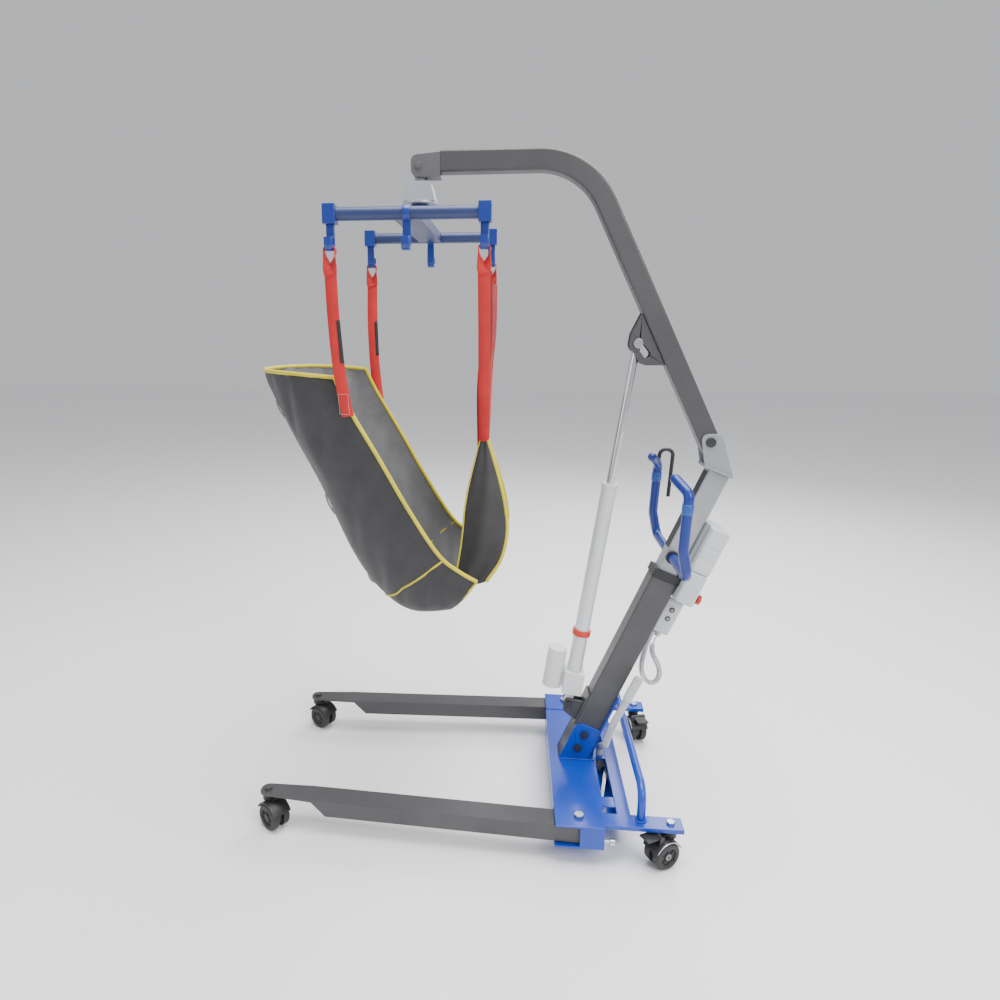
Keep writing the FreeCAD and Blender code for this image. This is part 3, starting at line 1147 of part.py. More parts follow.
def control_box():
    across = "upper_depth / 2 + control_standoff + control_depth / 2"
    start = "control_along - control_length / 2"
    case = mast_box("control_case_solid", "control_depth", "control_width", "0.42 * control_length", start,
                    across)
    face = "upper_depth / 2 + control_standoff + control_depth"
    stop_at = ("-34", "control_along - 0.4 * control_length")
    bore = rod("stop_bore", "stop_stem_radius + run_clearance", "13", (f"{face} - 12", *stop_at), "x")
    as_part("control_case", cut("control_case_cut", rounded_block("control_case_round", case, 7), bore),
            MAST_FRAME)
    pack = mast_box("battery_solid", "control_depth", "control_width",
                    "0.58 * control_length - body_clearance",
                    f"{start} + 0.42 * control_length + body_clearance", across)
    as_part("battery_pack", rounded_block("battery_round", pack, 7), MAST_FRAME)
    rail_start = "mast_lower_length + 24"
    plate_back = mast_box("control_rail_solid", "control_standoff - body_clearance", "70",
                          f"{start} + control_length - ({rail_start})", rail_start,
                          "upper_depth / 2 + (control_standoff - body_clearance) / 2")
    as_part("control_rail", plate_back, MAST_FRAME)
    stem = rod("stop_stem", "stop_stem_radius", "13", (f"{face} - 5", *stop_at), "x")
    knob = rod("stop_knob", "2 * stop_stem_radius", "9", (f"{face} + 7", *stop_at), "x")
    as_part("stop_button", fuse("stop_button_solid", stem, knob), MAST_FRAME)


def rounded_block(name, block, radius):
    solid = doc.addObject("Part::Fillet", name)
    solid.Base = block
    solid.Edges = [(i, radius, radius) for i in range(1, 13)]
    return solid


def handset():
    """Hand control resting in a cradle behind the lower mast."""
    across = "mast_depth / 2 + 8 + handset_width / 2"
    start = "handset_along - handset_length / 2"
    case = box("handset_solid", "handset_width", "handset_depth", "handset_length",
               (f"{across} - handset_width / 2", "handset_y - handset_depth / 2", start))
    body = rounded_block("handset_round", case, 8)
    wells = []
    for number, offset in enumerate((14, -14)):
        wells.append(button(f"well_{number}", offset, "8", "5.5", "1.9"))
    as_part("handset_case", cut("handset_cut", body, *wells), MAST_FRAME)
    for name, offset in (("up_button", 14), ("down_button", -14)):
        as_part(name, button(f"{name}_solid", offset, "7", "3.4", "1.9"), MAST_FRAME)
    hook_plate = box("cradle_plate", "6", "22", "70",
                     ("mast_depth / 2 + body_clearance", "handset_y - 11", f"{start} + 20"))
    shelf = box("cradle_shelf", "handset_width + 6", "handset_depth - 8", "4",
                ("mast_depth / 2 + body_clearance", "handset_y - (handset_depth - 8) / 2",
                 f"{start} - 4.5"))
    notch = rod("cradle_notch", "cord_radius + 2", "40", (f"{across}", "handset_y", f"{start} - 20"))
    way_out = box("cradle_way_out", "handset_width", "2 * (cord_radius + 2)", "40",
                  (f"{across}", "handset_y - cord_radius - 2", f"{start} - 20"))
    link = box("cradle_link", "6", "22", "40",
               ("mast_depth / 2 + body_clearance", "handset_y - 11", f"{start} - 4.5"))
    as_part("handset_cradle",
            cut("cradle_cut", fuse("cradle_solid", hook_plate, shelf, link), notch, way_out), MAST_FRAME)


def button(name, offset, radius, depth, rise):
    """A round key in the handset's outer face, on the hoist's left."""
    across = "mast_depth / 2 + 8 + handset_width / 2"
    face = "handset_y - handset_depth / 2"
    solid = rod(name, radius, f"{depth} + {rise}",
                (across, f"{face} - {rise}", f"handset_along + {offset} + 10"), "y")
    return solid


def handset_cord():
    """Curly cord from the control box down behind the mast and back up to the handset."""
    start = "control_along - control_length / 2"
    across = size.upper_depth / 2 + size.control_standoff + size.control_depth / 2
    outlet = MAST_FRAME.multVec(Vector(across, 40, size.control_along - size.control_length / 2 - 14))
    inlet_across = size.mast_depth / 2 + 8 + size.handset_width / 2
    inlet = MAST_FRAME.multVec(
        Vector(inlet_across, size.handset_y, size.handset_along - size.handset_length / 2 - 12))
    gland = rod("cord_gland_solid", "cord_radius + 1.5", "14", (f"{across}", "40", f"{start} - 14"))
    as_part("cord_gland", group("cord_gland_group", gland), MAST_FRAME)
    relief = rod("cord_relief_solid", "cord_radius", "12",
                 (f"{inlet_across}", "handset_y", "handset_along - handset_length / 2 - 12"))
    as_part("cord_relief", group("cord_relief_group", relief), MAST_FRAME)
    down = MAST_FRAME.Rotation.multVec(Vector(0, 0, -CORD_LEAD))
    points = [outlet, outlet + down] + [Vector(*p) for p in CORD_ROUTE] + [inlet + down, inlet]
    bends = cord_bends(points)
    solid = swept("handset_cord_solid", points, bends, size.cord_radius)
    length = sum(edge.Length for edge in Part.Wire([r.toShape() for r in rounded(points, bends)]).Edges)
    print("handset_cord route", round(length), "mm, bends", [round(b) for b in bends])
    print("handset_cord volume ratio", solid.Shape.Volume / (math.pi * size.cord_radius ** 2 * length))
    as_part("handset_cord", solid)


CORD_LEAD = 30
CORD_ROUTE = [
    (478, 45, 528),
    (462, 48, 488),
    (449, 50, 446),
    (441, 52, 404),
    (439, 51, 368),
    (447, 46, 342),
    (464, 38, 329),
    (482, 31, 340),
    (489, 26, 364),
    (484, 21, 392),
    (470, 17, 418),
    (459, 15, 440),
]


def cord_bends(points):
    """Each bend takes 0.45 of its shorter run."""
    bends = []
    for i in range(1, len(points) - 1):
        back, ahead = points[i - 1] - points[i], points[i + 1] - points[i]
        turn = math.pi - back.getAngle(ahead)
        bends.append(0.45 * min(back.Length, ahead.Length) / math.tan(turn / 2))
    return bends


# ------------------------------------------------------------------ sling

SLING_STATIONS = [
    # back line x, z; edge line x, z; half width. Measured from the hanger pin and the side bars' height.
    ((-424, -354), (-192, -374), 196),
    ((-352, -511), (-158, -446), 203),
    ((-270, -670), (-84, -572), 204),
    ((-188, -861), (-7, -708), 203),
    ((-117, -966), (68, -824), 200),
    ((-30, -1026), (122, -870), 196),
    ((90, -1014), (168, -898), 190),
]


def sling_point(x, z):
    return flat(size.tip_pin_x + x, size.spreader_z + z)


def sling_wire(back, edge, half, thickness):
    """Closed band across the sling: a U from one edge, round the back line and up to the other edge."""
    outer, inner = [], []
    steps = 14
    back, edge = sling_point(*back), sling_point(*edge)
    depth = edge - back
    inward = depth / depth.Length
    for i in range(steps + 1):
        angle = math.pi * i / steps
        y = -half * math.cos(angle)
        rise = 1 - math.sin(angle) ** 0.8
        outer.append(Vector(back.x + depth.x * rise, y, back.y + depth.y * rise))
        shrink = (half - thickness) / half
        inner.append(Vector(back.x + inward.x * thickness + (depth.x - inward.x * thickness) * rise,
                            y * shrink, back.y + inward.y * thickness + (depth.y - inward.y * thickness) * rise))
    points = outer + inner[::-1]
    return Part.makePolygon(points + points[:1])


def sling():
    wires = [sling_wire(back, edge, half, size.sling_thickness) for back, edge, half in SLING_STATIONS]
    feature = doc.addObject("Part::Feature", "sling_solid")
    feature.Shape = Part.makeLoft(wires, True, True)
    as_part("sling_body", feature)
    shoulder, knee = sling_point(-164, -410), sling_point(174, -548)
    for side, sign in SIDES:
        strap(f"shoulder_strap_{side}", hook_foot("front", sign),
              Vector(shoulder.x, sign * 219, shoulder.y))
        strap(f"leg_strap_{side}", hook_foot("rear", sign), Vector(knee.x, sign * 9, knee.y))
        leg_flap(side, sign)


def hook_foot(place, sign):
    x = dict(hook_places())[place]
    return Vector(x, sign * (size.spreader_half_width + 13), size.spreader_z - size.hook_drop - 5)


def strap(label, top, bottom):
    """A flat webbing strap between two points, its width along X."""
    length = (bottom - top).Length
    web = box(f"{label}_web", "strap_width", "strap_thickness", f"{length}")
    down = (bottom - top).normalize()
    turn = Rotation(Vector(0, 0, 1), down)
    corner = top - turn.multVec(Vector(size.strap_width / 2, size.strap_thickness / 2, 0))
    as_part(label, web, Placement(corner, turn))


def leg_flap(side, sign):
    """Padded leg piece, a teardrop from the seat's front edge up to its strap."""
    points = [(96, -966), (200, -916), (244, -800), (222, -676), (182, -554), (166, -554), (136, -676),
              (124, -800)]
    outline = closed([sling_point(x, z) for x, z in points], [10, 20, 40, 60, 6, 6, 60, 30])
    body = plate(f"flap_{side}", "XZ_Plane", outline, "sling_thickness")
    gap_top, gap_low, height = 9, 96, 412
    spread = math.degrees(math.atan2(gap_low - gap_top, height))
    crest = Vector(0, 0, sling_point(0, -554).y)
    place = Placement(Vector(0, sign * gap_top, 0), Rotation(Vector(1, 0, 0), sign * spread), crest)
    as_part(f"leg_flap_{side}", body, place)


# ------------------------------------------------------------------ build


def build():
    base_deck()
    rear_beam()
    leg_pivots()
    guard_tube()
    stop_knobs()
    spread_lever()
    for side, sign in SIDES:
        leg_pocket(side, sign)
        outrigger(side, sign)
        leg(side, sign)
        front_castor_stem(side, sign)
        tie_rod(side, sign)
        place = front_castor_place(sign)
        swivel = Rotation(Vector(0, 0, 1), FRONT_SWIVEL[side])
        castor(f"front_{side}", Placement(place, swivel))
        rear = Placement(Vector(size.rear_castor_x, sign * size.leg_pivot_y, 0),
                         Rotation(Vector(0, 0, 1), REAR_SWIVEL[side]))
        castor(f"rear_{side}", rear)
        brake_pedal(f"rear_{side}", rear)
    stems = [castor_stem(f"rear_{side}", "rear_castor_x", f"{sign} * leg_pivot_y", "outrigger_height")
             for side, sign in SIDES]
    as_part("castor_stems_rear", group("rear_stem_pair", *stems))
    mast_foot()
    mast_tubes()
    mast_collar()
    mast_head()
    push_handles()
    boom_tube()
    boom_tip()
    boom_lug()
    actuator_mount()
    actuator()
    hanger()
    spreader()
    control_box()
    handset()
    handset_cord()
    sling()


def bundle_small_pieces():
    """Pairs and small fasteners share a file with their like."""
    bundle("leg_pockets", "leg_pocket_left", "leg_pocket_right")
    bundle("rear_frame", "rear_beam", "outrigger_left", "outrigger_right")
    bundle("base_bolts", "leg_pivot_bolts", "leg_pivot_washers", "castor_stems_rear")
    bundle("mast_pins", "mast_foot_bolts", "boom_pivot_pin", "actuator_foot_pin")
    bundle("push_handles", "handle_crossbar", "push_handle_left", "push_handle_right")
    bundle("mast_bushes", "mast_collar", "crossbar_bushes")
    bundle("control_rails", "control_rail", "handset_cradle")
    bundle("actuator_barrel", "actuator_tube", "actuator_collar")
    bundle("lifting_ram", "lifting_rod", "rod_head_pin")
    bundle("boom_end", "boom_tip", "hanger_pin")
    bundle("hanger", "hanger_link", "hanger_hub")
    bundle("swivel", "swivel_shaft", "hub_flange")
    bundle("side_bars", "side_bar_left", "side_bar_right")
    bundle("end_blocks", "end_blocks_left", "end_blocks_right")
    bundle("sling_hooks", "sling_hooks_left", "sling_hooks_right")
    bundle("shoulder_straps", "shoulder_strap_left", "shoulder_strap_right")
    bundle("leg_straps", "leg_strap_left", "leg_strap_right")
    bundle("leg_flaps", "leg_flap_left", "leg_flap_right")
    for side, _ in SIDES:
        bundle(f"leg_assembly_{side}", f"leg_{side}", f"castor_stem_front_{side}")
        bundle(f"castor_front_{side}", f"castor_fork_front_{side}", f"castor_axle_front_{side}")
        bundle(f"castor_rear_{side}", f"castor_fork_rear_{side}", f"castor_axle_rear_{side}",
               f"brake_mount_rear_{side}")


FRONT_SWIVEL = {"left": -37, "right": -30}
REAR_SWIVEL = {"left": -150, "right": -75}


def write():
    """Check every object and sub-part, then write one STEP file for each."""
    doc.recompute()
    for thing in doc.Objects:
        if {"Invalid", "Error"} & set(thing.State):
            raise RuntimeError(f"{thing.Name} failed: {thing.State}")
    for label, thing in parts.items():
        if thing.Shape.isNull() or not thing.Shape.isValid():
            raise RuntimeError(f"{label} has no valid shape")
    os.makedirs("parts", exist_ok=True)
    for label, thing in parts.items():
        thing.Shape.exportStep(f"parts/{label}.step")
    print(len(parts), "sub-parts written")


build()
bundle_small_pieces()
write()
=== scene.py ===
import json
import math
from functools import partial

import bmesh
import bpy
import numpy as np
from mathutils import Matrix, Vector


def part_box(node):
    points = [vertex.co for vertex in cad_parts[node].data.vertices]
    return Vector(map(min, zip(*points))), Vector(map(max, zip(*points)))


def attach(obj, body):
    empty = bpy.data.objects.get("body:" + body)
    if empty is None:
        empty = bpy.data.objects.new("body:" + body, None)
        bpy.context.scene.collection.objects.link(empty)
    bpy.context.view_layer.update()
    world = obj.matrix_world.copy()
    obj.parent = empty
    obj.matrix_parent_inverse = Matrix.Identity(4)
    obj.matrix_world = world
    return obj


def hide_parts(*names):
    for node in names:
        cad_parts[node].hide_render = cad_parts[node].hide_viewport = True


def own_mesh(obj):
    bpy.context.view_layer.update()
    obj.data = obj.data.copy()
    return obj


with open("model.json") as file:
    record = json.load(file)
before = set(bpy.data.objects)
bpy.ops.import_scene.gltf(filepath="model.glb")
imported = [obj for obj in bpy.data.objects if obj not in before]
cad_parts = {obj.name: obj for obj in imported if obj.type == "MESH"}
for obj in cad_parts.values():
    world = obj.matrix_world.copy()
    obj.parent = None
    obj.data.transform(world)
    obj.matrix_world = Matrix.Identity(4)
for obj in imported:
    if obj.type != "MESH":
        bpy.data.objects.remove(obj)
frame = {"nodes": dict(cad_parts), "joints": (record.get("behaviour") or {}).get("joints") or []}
nodes = frame["nodes"]
joint = {j["name"]: j for j in frame["joints"]}
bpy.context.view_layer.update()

# -------------------- studio
# A pale seamless floor, a soft overhead light, a key light from the front right, a weak fill from the
# left and a lamp behind. The camera stands at the hoist's left side, a little below eye height.

scene = bpy.context.scene
camera = bpy.data.objects.new("camera", bpy.data.cameras.new("camera"))
scene.collection.objects.link(camera)
camera.location = (0.0422, -1.9627, 1.3564)
camera.rotation_euler = (math.radians(90 - 13.356), 0, math.radians(6.155))
camera.data.lens = 25.92
camera.data.sensor_width = 36
camera.data.shift_x = 0.065
camera.data.shift_y = -0.003
scene.camera = camera

world = bpy.data.worlds.new("studio")
world.use_nodes = True
world.node_tree.nodes["Background"].inputs["Color"].default_value = (0.96, 0.97, 1.0, 1)
world.node_tree.nodes["Background"].inputs["Strength"].default_value = 0.62
scene.world = world


def area_light(name, place, aim, size, power, tint=(1, 1, 1)):
    lamp = bpy.data.objects.new(name, bpy.data.lights.new(name, "AREA"))
    scene.collection.objects.link(lamp)
    lamp.location = place
    lamp.rotation_euler = (Vector(aim) - Vector(place)).to_track_quat("-Z", "Y").to_euler()
    lamp.data.shape = "DISK"
    lamp.data.size = size
    lamp.data.energy = power
    lamp.data.color = tint
    return lamp


area_light("overhead", (0.5, -0.2, 4.4), (0, 0, 0.5), 3.6, 300)
area_light("key", (2.4, -3.0, 3.0), (0, 0, 0.8), 2.0, 95, (1, 0.98, 0.96))
area_light("fill", (-3.0, -2.6, 1.8), (0.1, 0, 0.8), 2.4, 16, (0.95, 0.97, 1))
area_light("back", (1.4, 3.2, 3.2), (0, 0, 1.0), 2.0, 90)


def mesh_object(name, points, faces, material=None, smooth=True, edges=()):
    mesh = bpy.data.meshes.new(name)
    mesh.from_pydata([tuple(p) for p in points], list(edges), faces)
    mesh.validate()
    thing = bpy.data.objects.new(name, mesh)
    scene.collection.objects.link(thing)
    if material is not None:
        mesh.materials.append(material)
    if smooth:
        mesh.polygons.foreach_set("use_smooth", [True] * len(mesh.polygons))
    return thing


floor_half = 14
floor = mesh_object(
    "floor",
    [(x * floor_half, y * floor_half, 0) for x, y in ((-1, -1), (1, -1), (1, 1), (-1, 1))],
    [(0, 1, 2, 3)],
)


def new_material(name):
    """A fresh material, its node tree and its Principled shader."""
    material = bpy.data.materials.new(name)
    material.use_nodes = True
    tree = material.node_tree
    return material, tree, tree.nodes["Principled BSDF"]


floor_paint, floor_tree, floor_shader = new_material("studio_floor")
floor_shader.inputs["Base Color"].default_value = (0.94, 0.94, 0.945, 1)
floor_shader.inputs["Roughness"].default_value = 0.75
floor_noise = floor_tree.nodes.new("ShaderNodeTexNoise")
floor_noise.inputs["Scale"].default_value = 3.0
floor_bump = floor_tree.nodes.new("ShaderNodeBump")
floor_bump.inputs["Strength"].default_value = 0.02
floor_tree.links.new(floor_noise.outputs["Fac"], floor_bump.inputs["Height"])
floor_tree.links.new(floor_bump.outputs["Normal"], floor_shader.inputs["Normal"])
floor.data.materials.append(floor_paint)

# -------------------- handset cord
# Coiled plastic cord from the control box, down behind the mast and back up to the handset. The
# route is the fat tube's own route, and the wire winds round it with a short straight lead at each end.

def node_group(name, inputs, outputs):
    """An empty shader group with its sockets, given as (label, kind, value) and (label, kind)."""
    group = bpy.data.node_groups.new(name, "ShaderNodeTree")
    for label, kind, value in inputs:
        socket = group.interface.new_socket(label, in_out="INPUT", socket_type=kind)
        socket.default_value = value
    for label, kind in outputs:
        group.interface.new_socket(label, in_out="OUTPUT", socket_type=kind)
    return group, group.nodes.new("NodeGroupInput"), group.nodes.new("NodeGroupOutput")


def math_node(tree, operation, first, second=None):
    node = tree.nodes.new("ShaderNodeMath")
    node.operation = operation
    for index, value in enumerate((first, second)):
        if value is None:
            continue
        if isinstance(value, (int, float)):
            node.inputs[index].default_value = value
        else:
            tree.links.new(value, node.inputs[index])
    return node.outputs[0]


def mix_colour(tree, factor, first, second):
    node = tree.nodes.new("ShaderNodeMix")
    node.data_type = "RGBA"
    for socket, value in ((node.inputs[0], factor), (node.inputs[6], first), (node.inputs[7], second)):
        if isinstance(value, bpy.types.NodeSocket):
            tree.links.new(value, socket)
        else:
            socket.default_value = value
    return node.outputs[2]


def make_mottle():
    """A colour and a shine that vary slowly, as on paint and moulded plastic, and a fine grain."""
    group, given, result = node_group(
        "mottle",
        [("Colour", "NodeSocketColor", (0.5, 0.5, 0.5, 1)),
         ("Dark Colour", "NodeSocketColor", (0.3, 0.3, 0.3, 1)),
         ("Scale", "NodeSocketFloat", 12.0), ("Grain Scale", "NodeSocketFloat", 900.0),
         ("Roughness", "NodeSocketFloat", 0.4), ("Spread", "NodeSocketFloat", 0.15)],
        [("Colour", "NodeSocketColor"), ("Roughness", "NodeSocketFloat"), ("Height", "NodeSocketFloat")],
    )
    place = group.nodes.new("ShaderNodeTexCoord")
    cloud = group.nodes.new("ShaderNodeTexNoise")
    cloud.inputs["Detail"].default_value = 6
    cloud.inputs["Roughness"].default_value = 0.65
    grain = group.nodes.new("ShaderNodeTexNoise")
    grain.inputs["Detail"].default_value = 2
    for texture, scale in ((cloud, "Scale"), (grain, "Grain Scale")):
        group.links.new(place.outputs["Object"], texture.inputs["Vector"])
        group.links.new(given.outputs[scale], texture.inputs["Scale"])
    soft = group.nodes.new("ShaderNodeMapRange")
    soft.inputs["From Min"].default_value = 0.38
    soft.inputs["From Max"].default_value = 0.68
    group.links.new(cloud.outputs["Fac"], soft.inputs["Value"])
    shade = mix_colour(group, soft.outputs["Result"], given.outputs["Colour"], given.outputs["Dark Colour"])
    centred = math_node(group, "SUBTRACT", cloud.outputs["Fac"], 0.5)
    change = math_node(group, "MULTIPLY", centred, given.outputs["Spread"])
    group.links.new(shade, result.inputs["Colour"])
    group.links.new(math_node(group, "ADD", given.outputs["Roughness"], change), result.inputs["Roughness"])
    group.links.new(grain.outputs["Fac"], result.inputs["Height"])
    return group


mottle = make_mottle()


def mottled(tree, shader, colour, dark, roughness, scale, grain, spread):
    """The mottle group with a finish's own values, its roughness wired to the shader."""
    group = tree.nodes.new("ShaderNodeGroup")
    group.node_tree = mottle
    values = {"Colour": (*colour, 1), "Dark Colour": (*dark, 1), "Scale": scale, "Grain Scale": grain,
              "Roughness": roughness, "Spread": spread}
    for label, value in values.items():
        group.inputs[label].default_value = value
    tree.links.new(group.outputs["Roughness"], shader.inputs["Roughness"])
    return group


def finish_material(name, colour, dark, roughness, *, scale=9.0, grain=900.0, spread=0.25, metallic=0.0,
                    coat=0.0, bump=0.04, round_edges=0.0012):
    """A hard finish: mottled colour, a fine grain and softly rounded edges."""
    material, tree, shader = new_material(name)
    group = mottled(tree, shader, colour, dark, roughness, scale, grain, spread)
    tree.links.new(group.outputs["Colour"], shader.inputs["Base Color"])
    edge = tree.nodes.new("ShaderNodeBevel")
    edge.samples = 3
    edge.inputs["Radius"].default_value = round_edges
    relief = tree.nodes.new("ShaderNodeBump")
    relief.inputs["Strength"].default_value = bump
    relief.inputs["Distance"].default_value = 0.0006
    tree.links.new(edge.outputs["Normal"], relief.inputs["Normal"])
    tree.links.new(group.outputs["Height"], relief.inputs["Height"])
    tree.links.new(relief.outputs["Normal"], shader.inputs["Normal"])
    shader.inputs["Metallic"].default_value = metallic
    shader.inputs["Coat Weight"].default_value = coat
    shader.inputs["Coat Roughness"].default_value = 0.12
    return material


def dress(material, *names):
    """Give CAD nodes their finish."""
    for name in names:
        thing = nodes[name]
        thing.data.materials.clear()
        thing.data.materials.append(material)


pale_plastic = finish_material("pale_plastic", (0.60, 0.63, 0.64), (0.50, 0.53, 0.55), 0.42, bump=0.10,
                               grain=1500)
cord_plastic = finish_material("cord_plastic", (0.66, 0.68, 0.70), (0.52, 0.54, 0.56), 0.36, bump=0.04)

mast_up = Vector(joint["battery_lift"]["axis"]).normalized()
mast_out = Vector(joint["handset_lift"]["axis"]).normalized()


def middle(name):
    low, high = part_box(name)
    return (low + high) / 2


cord_outlet = middle("cord_gland") - mast_up * 0.007
cord_inlet = middle("cord_relief") - mast_up * 0.006
cord_lead = 0.030
cord_route = [
    cord_outlet,
    cord_outlet - mast_up * cord_lead,
    (0.478, 0.045, 0.528),
    (0.462, 0.048, 0.488),
    (0.449, 0.050, 0.446),
    (0.441, 0.052, 0.404),
    (0.439, 0.051, 0.368),
    (0.447, 0.046, 0.342),
    (0.464, 0.038, 0.329),
    (0.482, 0.031, 0.340),
    (0.489, 0.026, 0.364),
    (0.484, 0.021, 0.392),
    (0.470, 0.017, 0.418),
    (0.459, 0.015, 0.440),
    cord_inlet - mast_up * cord_lead,
    cord_inlet,
]


def nurbs_curve(name, points, resolution):
    data = bpy.data.curves.new(name, "CURVE")
    data.dimensions = "3D"
    spline = data.splines.new("NURBS")
    spline.points.add(len(points) - 1)
    for point, at in zip(spline.points, points):
        point.co = (*at, 1)
    spline.order_u = 3
    spline.use_endpoint_u = True
    data.resolution_u = resolution
    return data


def curve_line(data):
    """The points along a curve's own line, evenly enough spaced to follow."""
    holder = bpy.data.objects.new("line", data)
    mesh = bpy.data.meshes.new_from_object(holder)
    line = [v.co.copy() for v in mesh.vertices]
    bpy.data.objects.remove(holder)
    bpy.data.meshes.remove(mesh)
    return line


def resampled(line, step):
    """Points a fixed step apart along a line."""
    points = np.array([tuple(p) for p in line])
    along = np.concatenate([[0], np.cumsum(np.linalg.norm(np.diff(points, axis=0), axis=1))])
    places = np.linspace(0, along[-1], max(2, round(along[-1] / step) + 1))
    spaced = [Vector([np.interp(at, along, points[:, axis]) for axis in range(3)]) for at in places]
    return spaced, along[-1]


def frames_along(line):
    """Tangent, side and up at each point, turned as little as possible from one point to the next."""
    last = len(line) - 1
    tangents = [(line[min(i + 1, last)] - line[max(i - 1, 0)]).normalized() for i in range(last + 1)]
    side = tangents[0].orthogonal().normalized()
    frames = []
    for tangent in tangents:
        side = (side - tangent * side.dot(tangent)).normalized()
        frames.append((tangent, side, tangent.cross(side)))
    return frames


wire_diameter, coil_diameter, coil_pitch = 0.0038, 0.016, 0.0056
straight_end, coil_run_in = 0.022, 0.012
points_per_turn = 14
cord_guide = curve_line(nurbs_curve("cord_guide", cord_route, 12))
guide, guide_length = resampled(cord_guide, coil_pitch / points_per_turn)
coil_points = []
for number, (at, (tangent, side, up)) in enumerate(zip(guide, frames_along(guide))):
    run = guide_length * number / (len(guide) - 1)
    from_end = min(run, guide_length - run)
    spread = min(1, max(0, (from_end - straight_end) / coil_run_in))
    radius = (coil_diameter - wire_diameter) / 2 * spread * spread * (3 - 2 * spread)
    angle = 2 * math.pi * number / points_per_turn
    coil_points.append(at + side * radius * math.cos(angle) + up * radius * math.sin(angle))
cord_data = nurbs_curve("curly_cord", coil_points, 2)
cord_data.bevel_depth = wire_diameter / 2
cord_data.bevel_resolution = 2
cord_data.use_fill_caps = True
cord_data.materials.append(cord_plastic)
curly_cord = bpy.data.objects.new("curly_cord", cord_data)
scene.collection.objects.link(curly_cord)
cord_length = sum((b - a).length for a, b in zip(coil_points, coil_points[1:]))
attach(curly_cord, "handset")
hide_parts("handset_cord")
dress(pale_plastic, "cord_gland", "cord_relief")
print("curly cord", round(cord_length, 3), "m along its wire,", round(guide_length, 3), "m along its route")

# -------------------- base
# Welded steel frame: a tray with a slotted deck, two leg pockets, two outriggers and a bent guard
# tube, all in gloss blue enamel, with zinc bolts and silver knobs that stop the legs.

blue_enamel = finish_material("blue_enamel", (0.002, 0.050, 0.44), (0.001, 0.038, 0.36), 0.34, coat=0.25,
                              bump=0.05, grain=700, scale=6)
zinc = finish_material("zinc", (0.52, 0.53, 0.54), (0.36, 0.37, 0.38), 0.34, metallic=0.9, scale=60,
                       bump=0.06)
bright_steel = finish_material("bright_steel", (0.66, 0.68, 0.70), (0.52, 0.54, 0.57), 0.28, metallic=0.85,
                               scale=40, bump=0.03)


def soften(width, *names):
    """Round the sharp edges of CAD nodes without touching their meshes."""
    for name in names:
        weld = nodes[name].modifiers.new("merge", "WELD")
        weld.merge_threshold = 0.00002
        bevel = nodes[name].modifiers.new("round_edges", "BEVEL")
        bevel.width = width
        bevel.segments = 2
        bevel.limit_method = "ANGLE"
        bevel.angle_limit = math.radians(40)


dress(blue_enamel, "base_deck", "rear_frame", "leg_pockets", "guard_tube")
dress(zinc, "base_bolts")
dress(bright_steel, "leg_stop_knobs")
soften(0.0015, "base_deck", "rear_frame", "leg_pockets")


def instances_tree(name):
    """Copies of one small shape, spaced along the piece's edges and turned to follow them."""
    tree = bpy.data.node_groups.new(name, "GeometryNodeTree")
    for label, kind in (("Line", "NodeSocketGeometry"), ("Spacing", "NodeSocketFloat"),
                        ("Size", "NodeSocketVector"), ("Finish", "NodeSocketMaterial")):
        tree.interface.new_socket(label, in_out="INPUT", socket_type=kind)
    tree.interface.new_socket("Copies", in_out="OUTPUT", socket_type="NodeSocketGeometry")
    given, result = tree.nodes.new("NodeGroupInput"), tree.nodes.new("NodeGroupOutput")
    curve = tree.nodes.new("GeometryNodeMeshToCurve")
    spaced = tree.nodes.new("GeometryNodeResampleCurve")
    spaced.mode = "LENGTH"
    tangent = tree.nodes.new("GeometryNodeInputTangent")
    turn = tree.nodes.new("FunctionNodeAlignRotationToVector")
    turn.axis = "X"
    copies = tree.nodes.new("GeometryNodeInstanceOnPoints")
    real = tree.nodes.new("GeometryNodeRealizeInstances")
    finish = tree.nodes.new("GeometryNodeSetMaterial")
    shape = tree.nodes.new("GeometryNodeMeshIcoSphere")
    shape.inputs["Radius"].default_value = 0.5
    shape.inputs["Subdivisions"].default_value = 2
    link = tree.links.new
    link(given.outputs["Line"], curve.inputs["Mesh"])
    link(curve.outputs["Curve"], spaced.inputs["Curve"])
    link(given.outputs["Spacing"], spaced.inputs["Length"])
    link(spaced.outputs["Curve"], copies.inputs["Points"])
    link(shape.outputs["Mesh"], copies.inputs["Instance"])
    link(tangent.outputs["Tangent"], turn.inputs["Vector"])
    link(turn.outputs["Rotation"], copies.inputs["Rotation"])
    link(given.outputs["Size"], copies.inputs["Scale"])
    link(copies.outputs["Instances"], real.inputs["Geometry"])
    link(real.outputs["Geometry"], finish.inputs["Geometry"])
    link(given.outputs["Finish"], finish.inputs["Material"])
    link(finish.outputs["Geometry"], result.inputs["Copies"])
    return tree


bead_tree = instances_tree("beads")


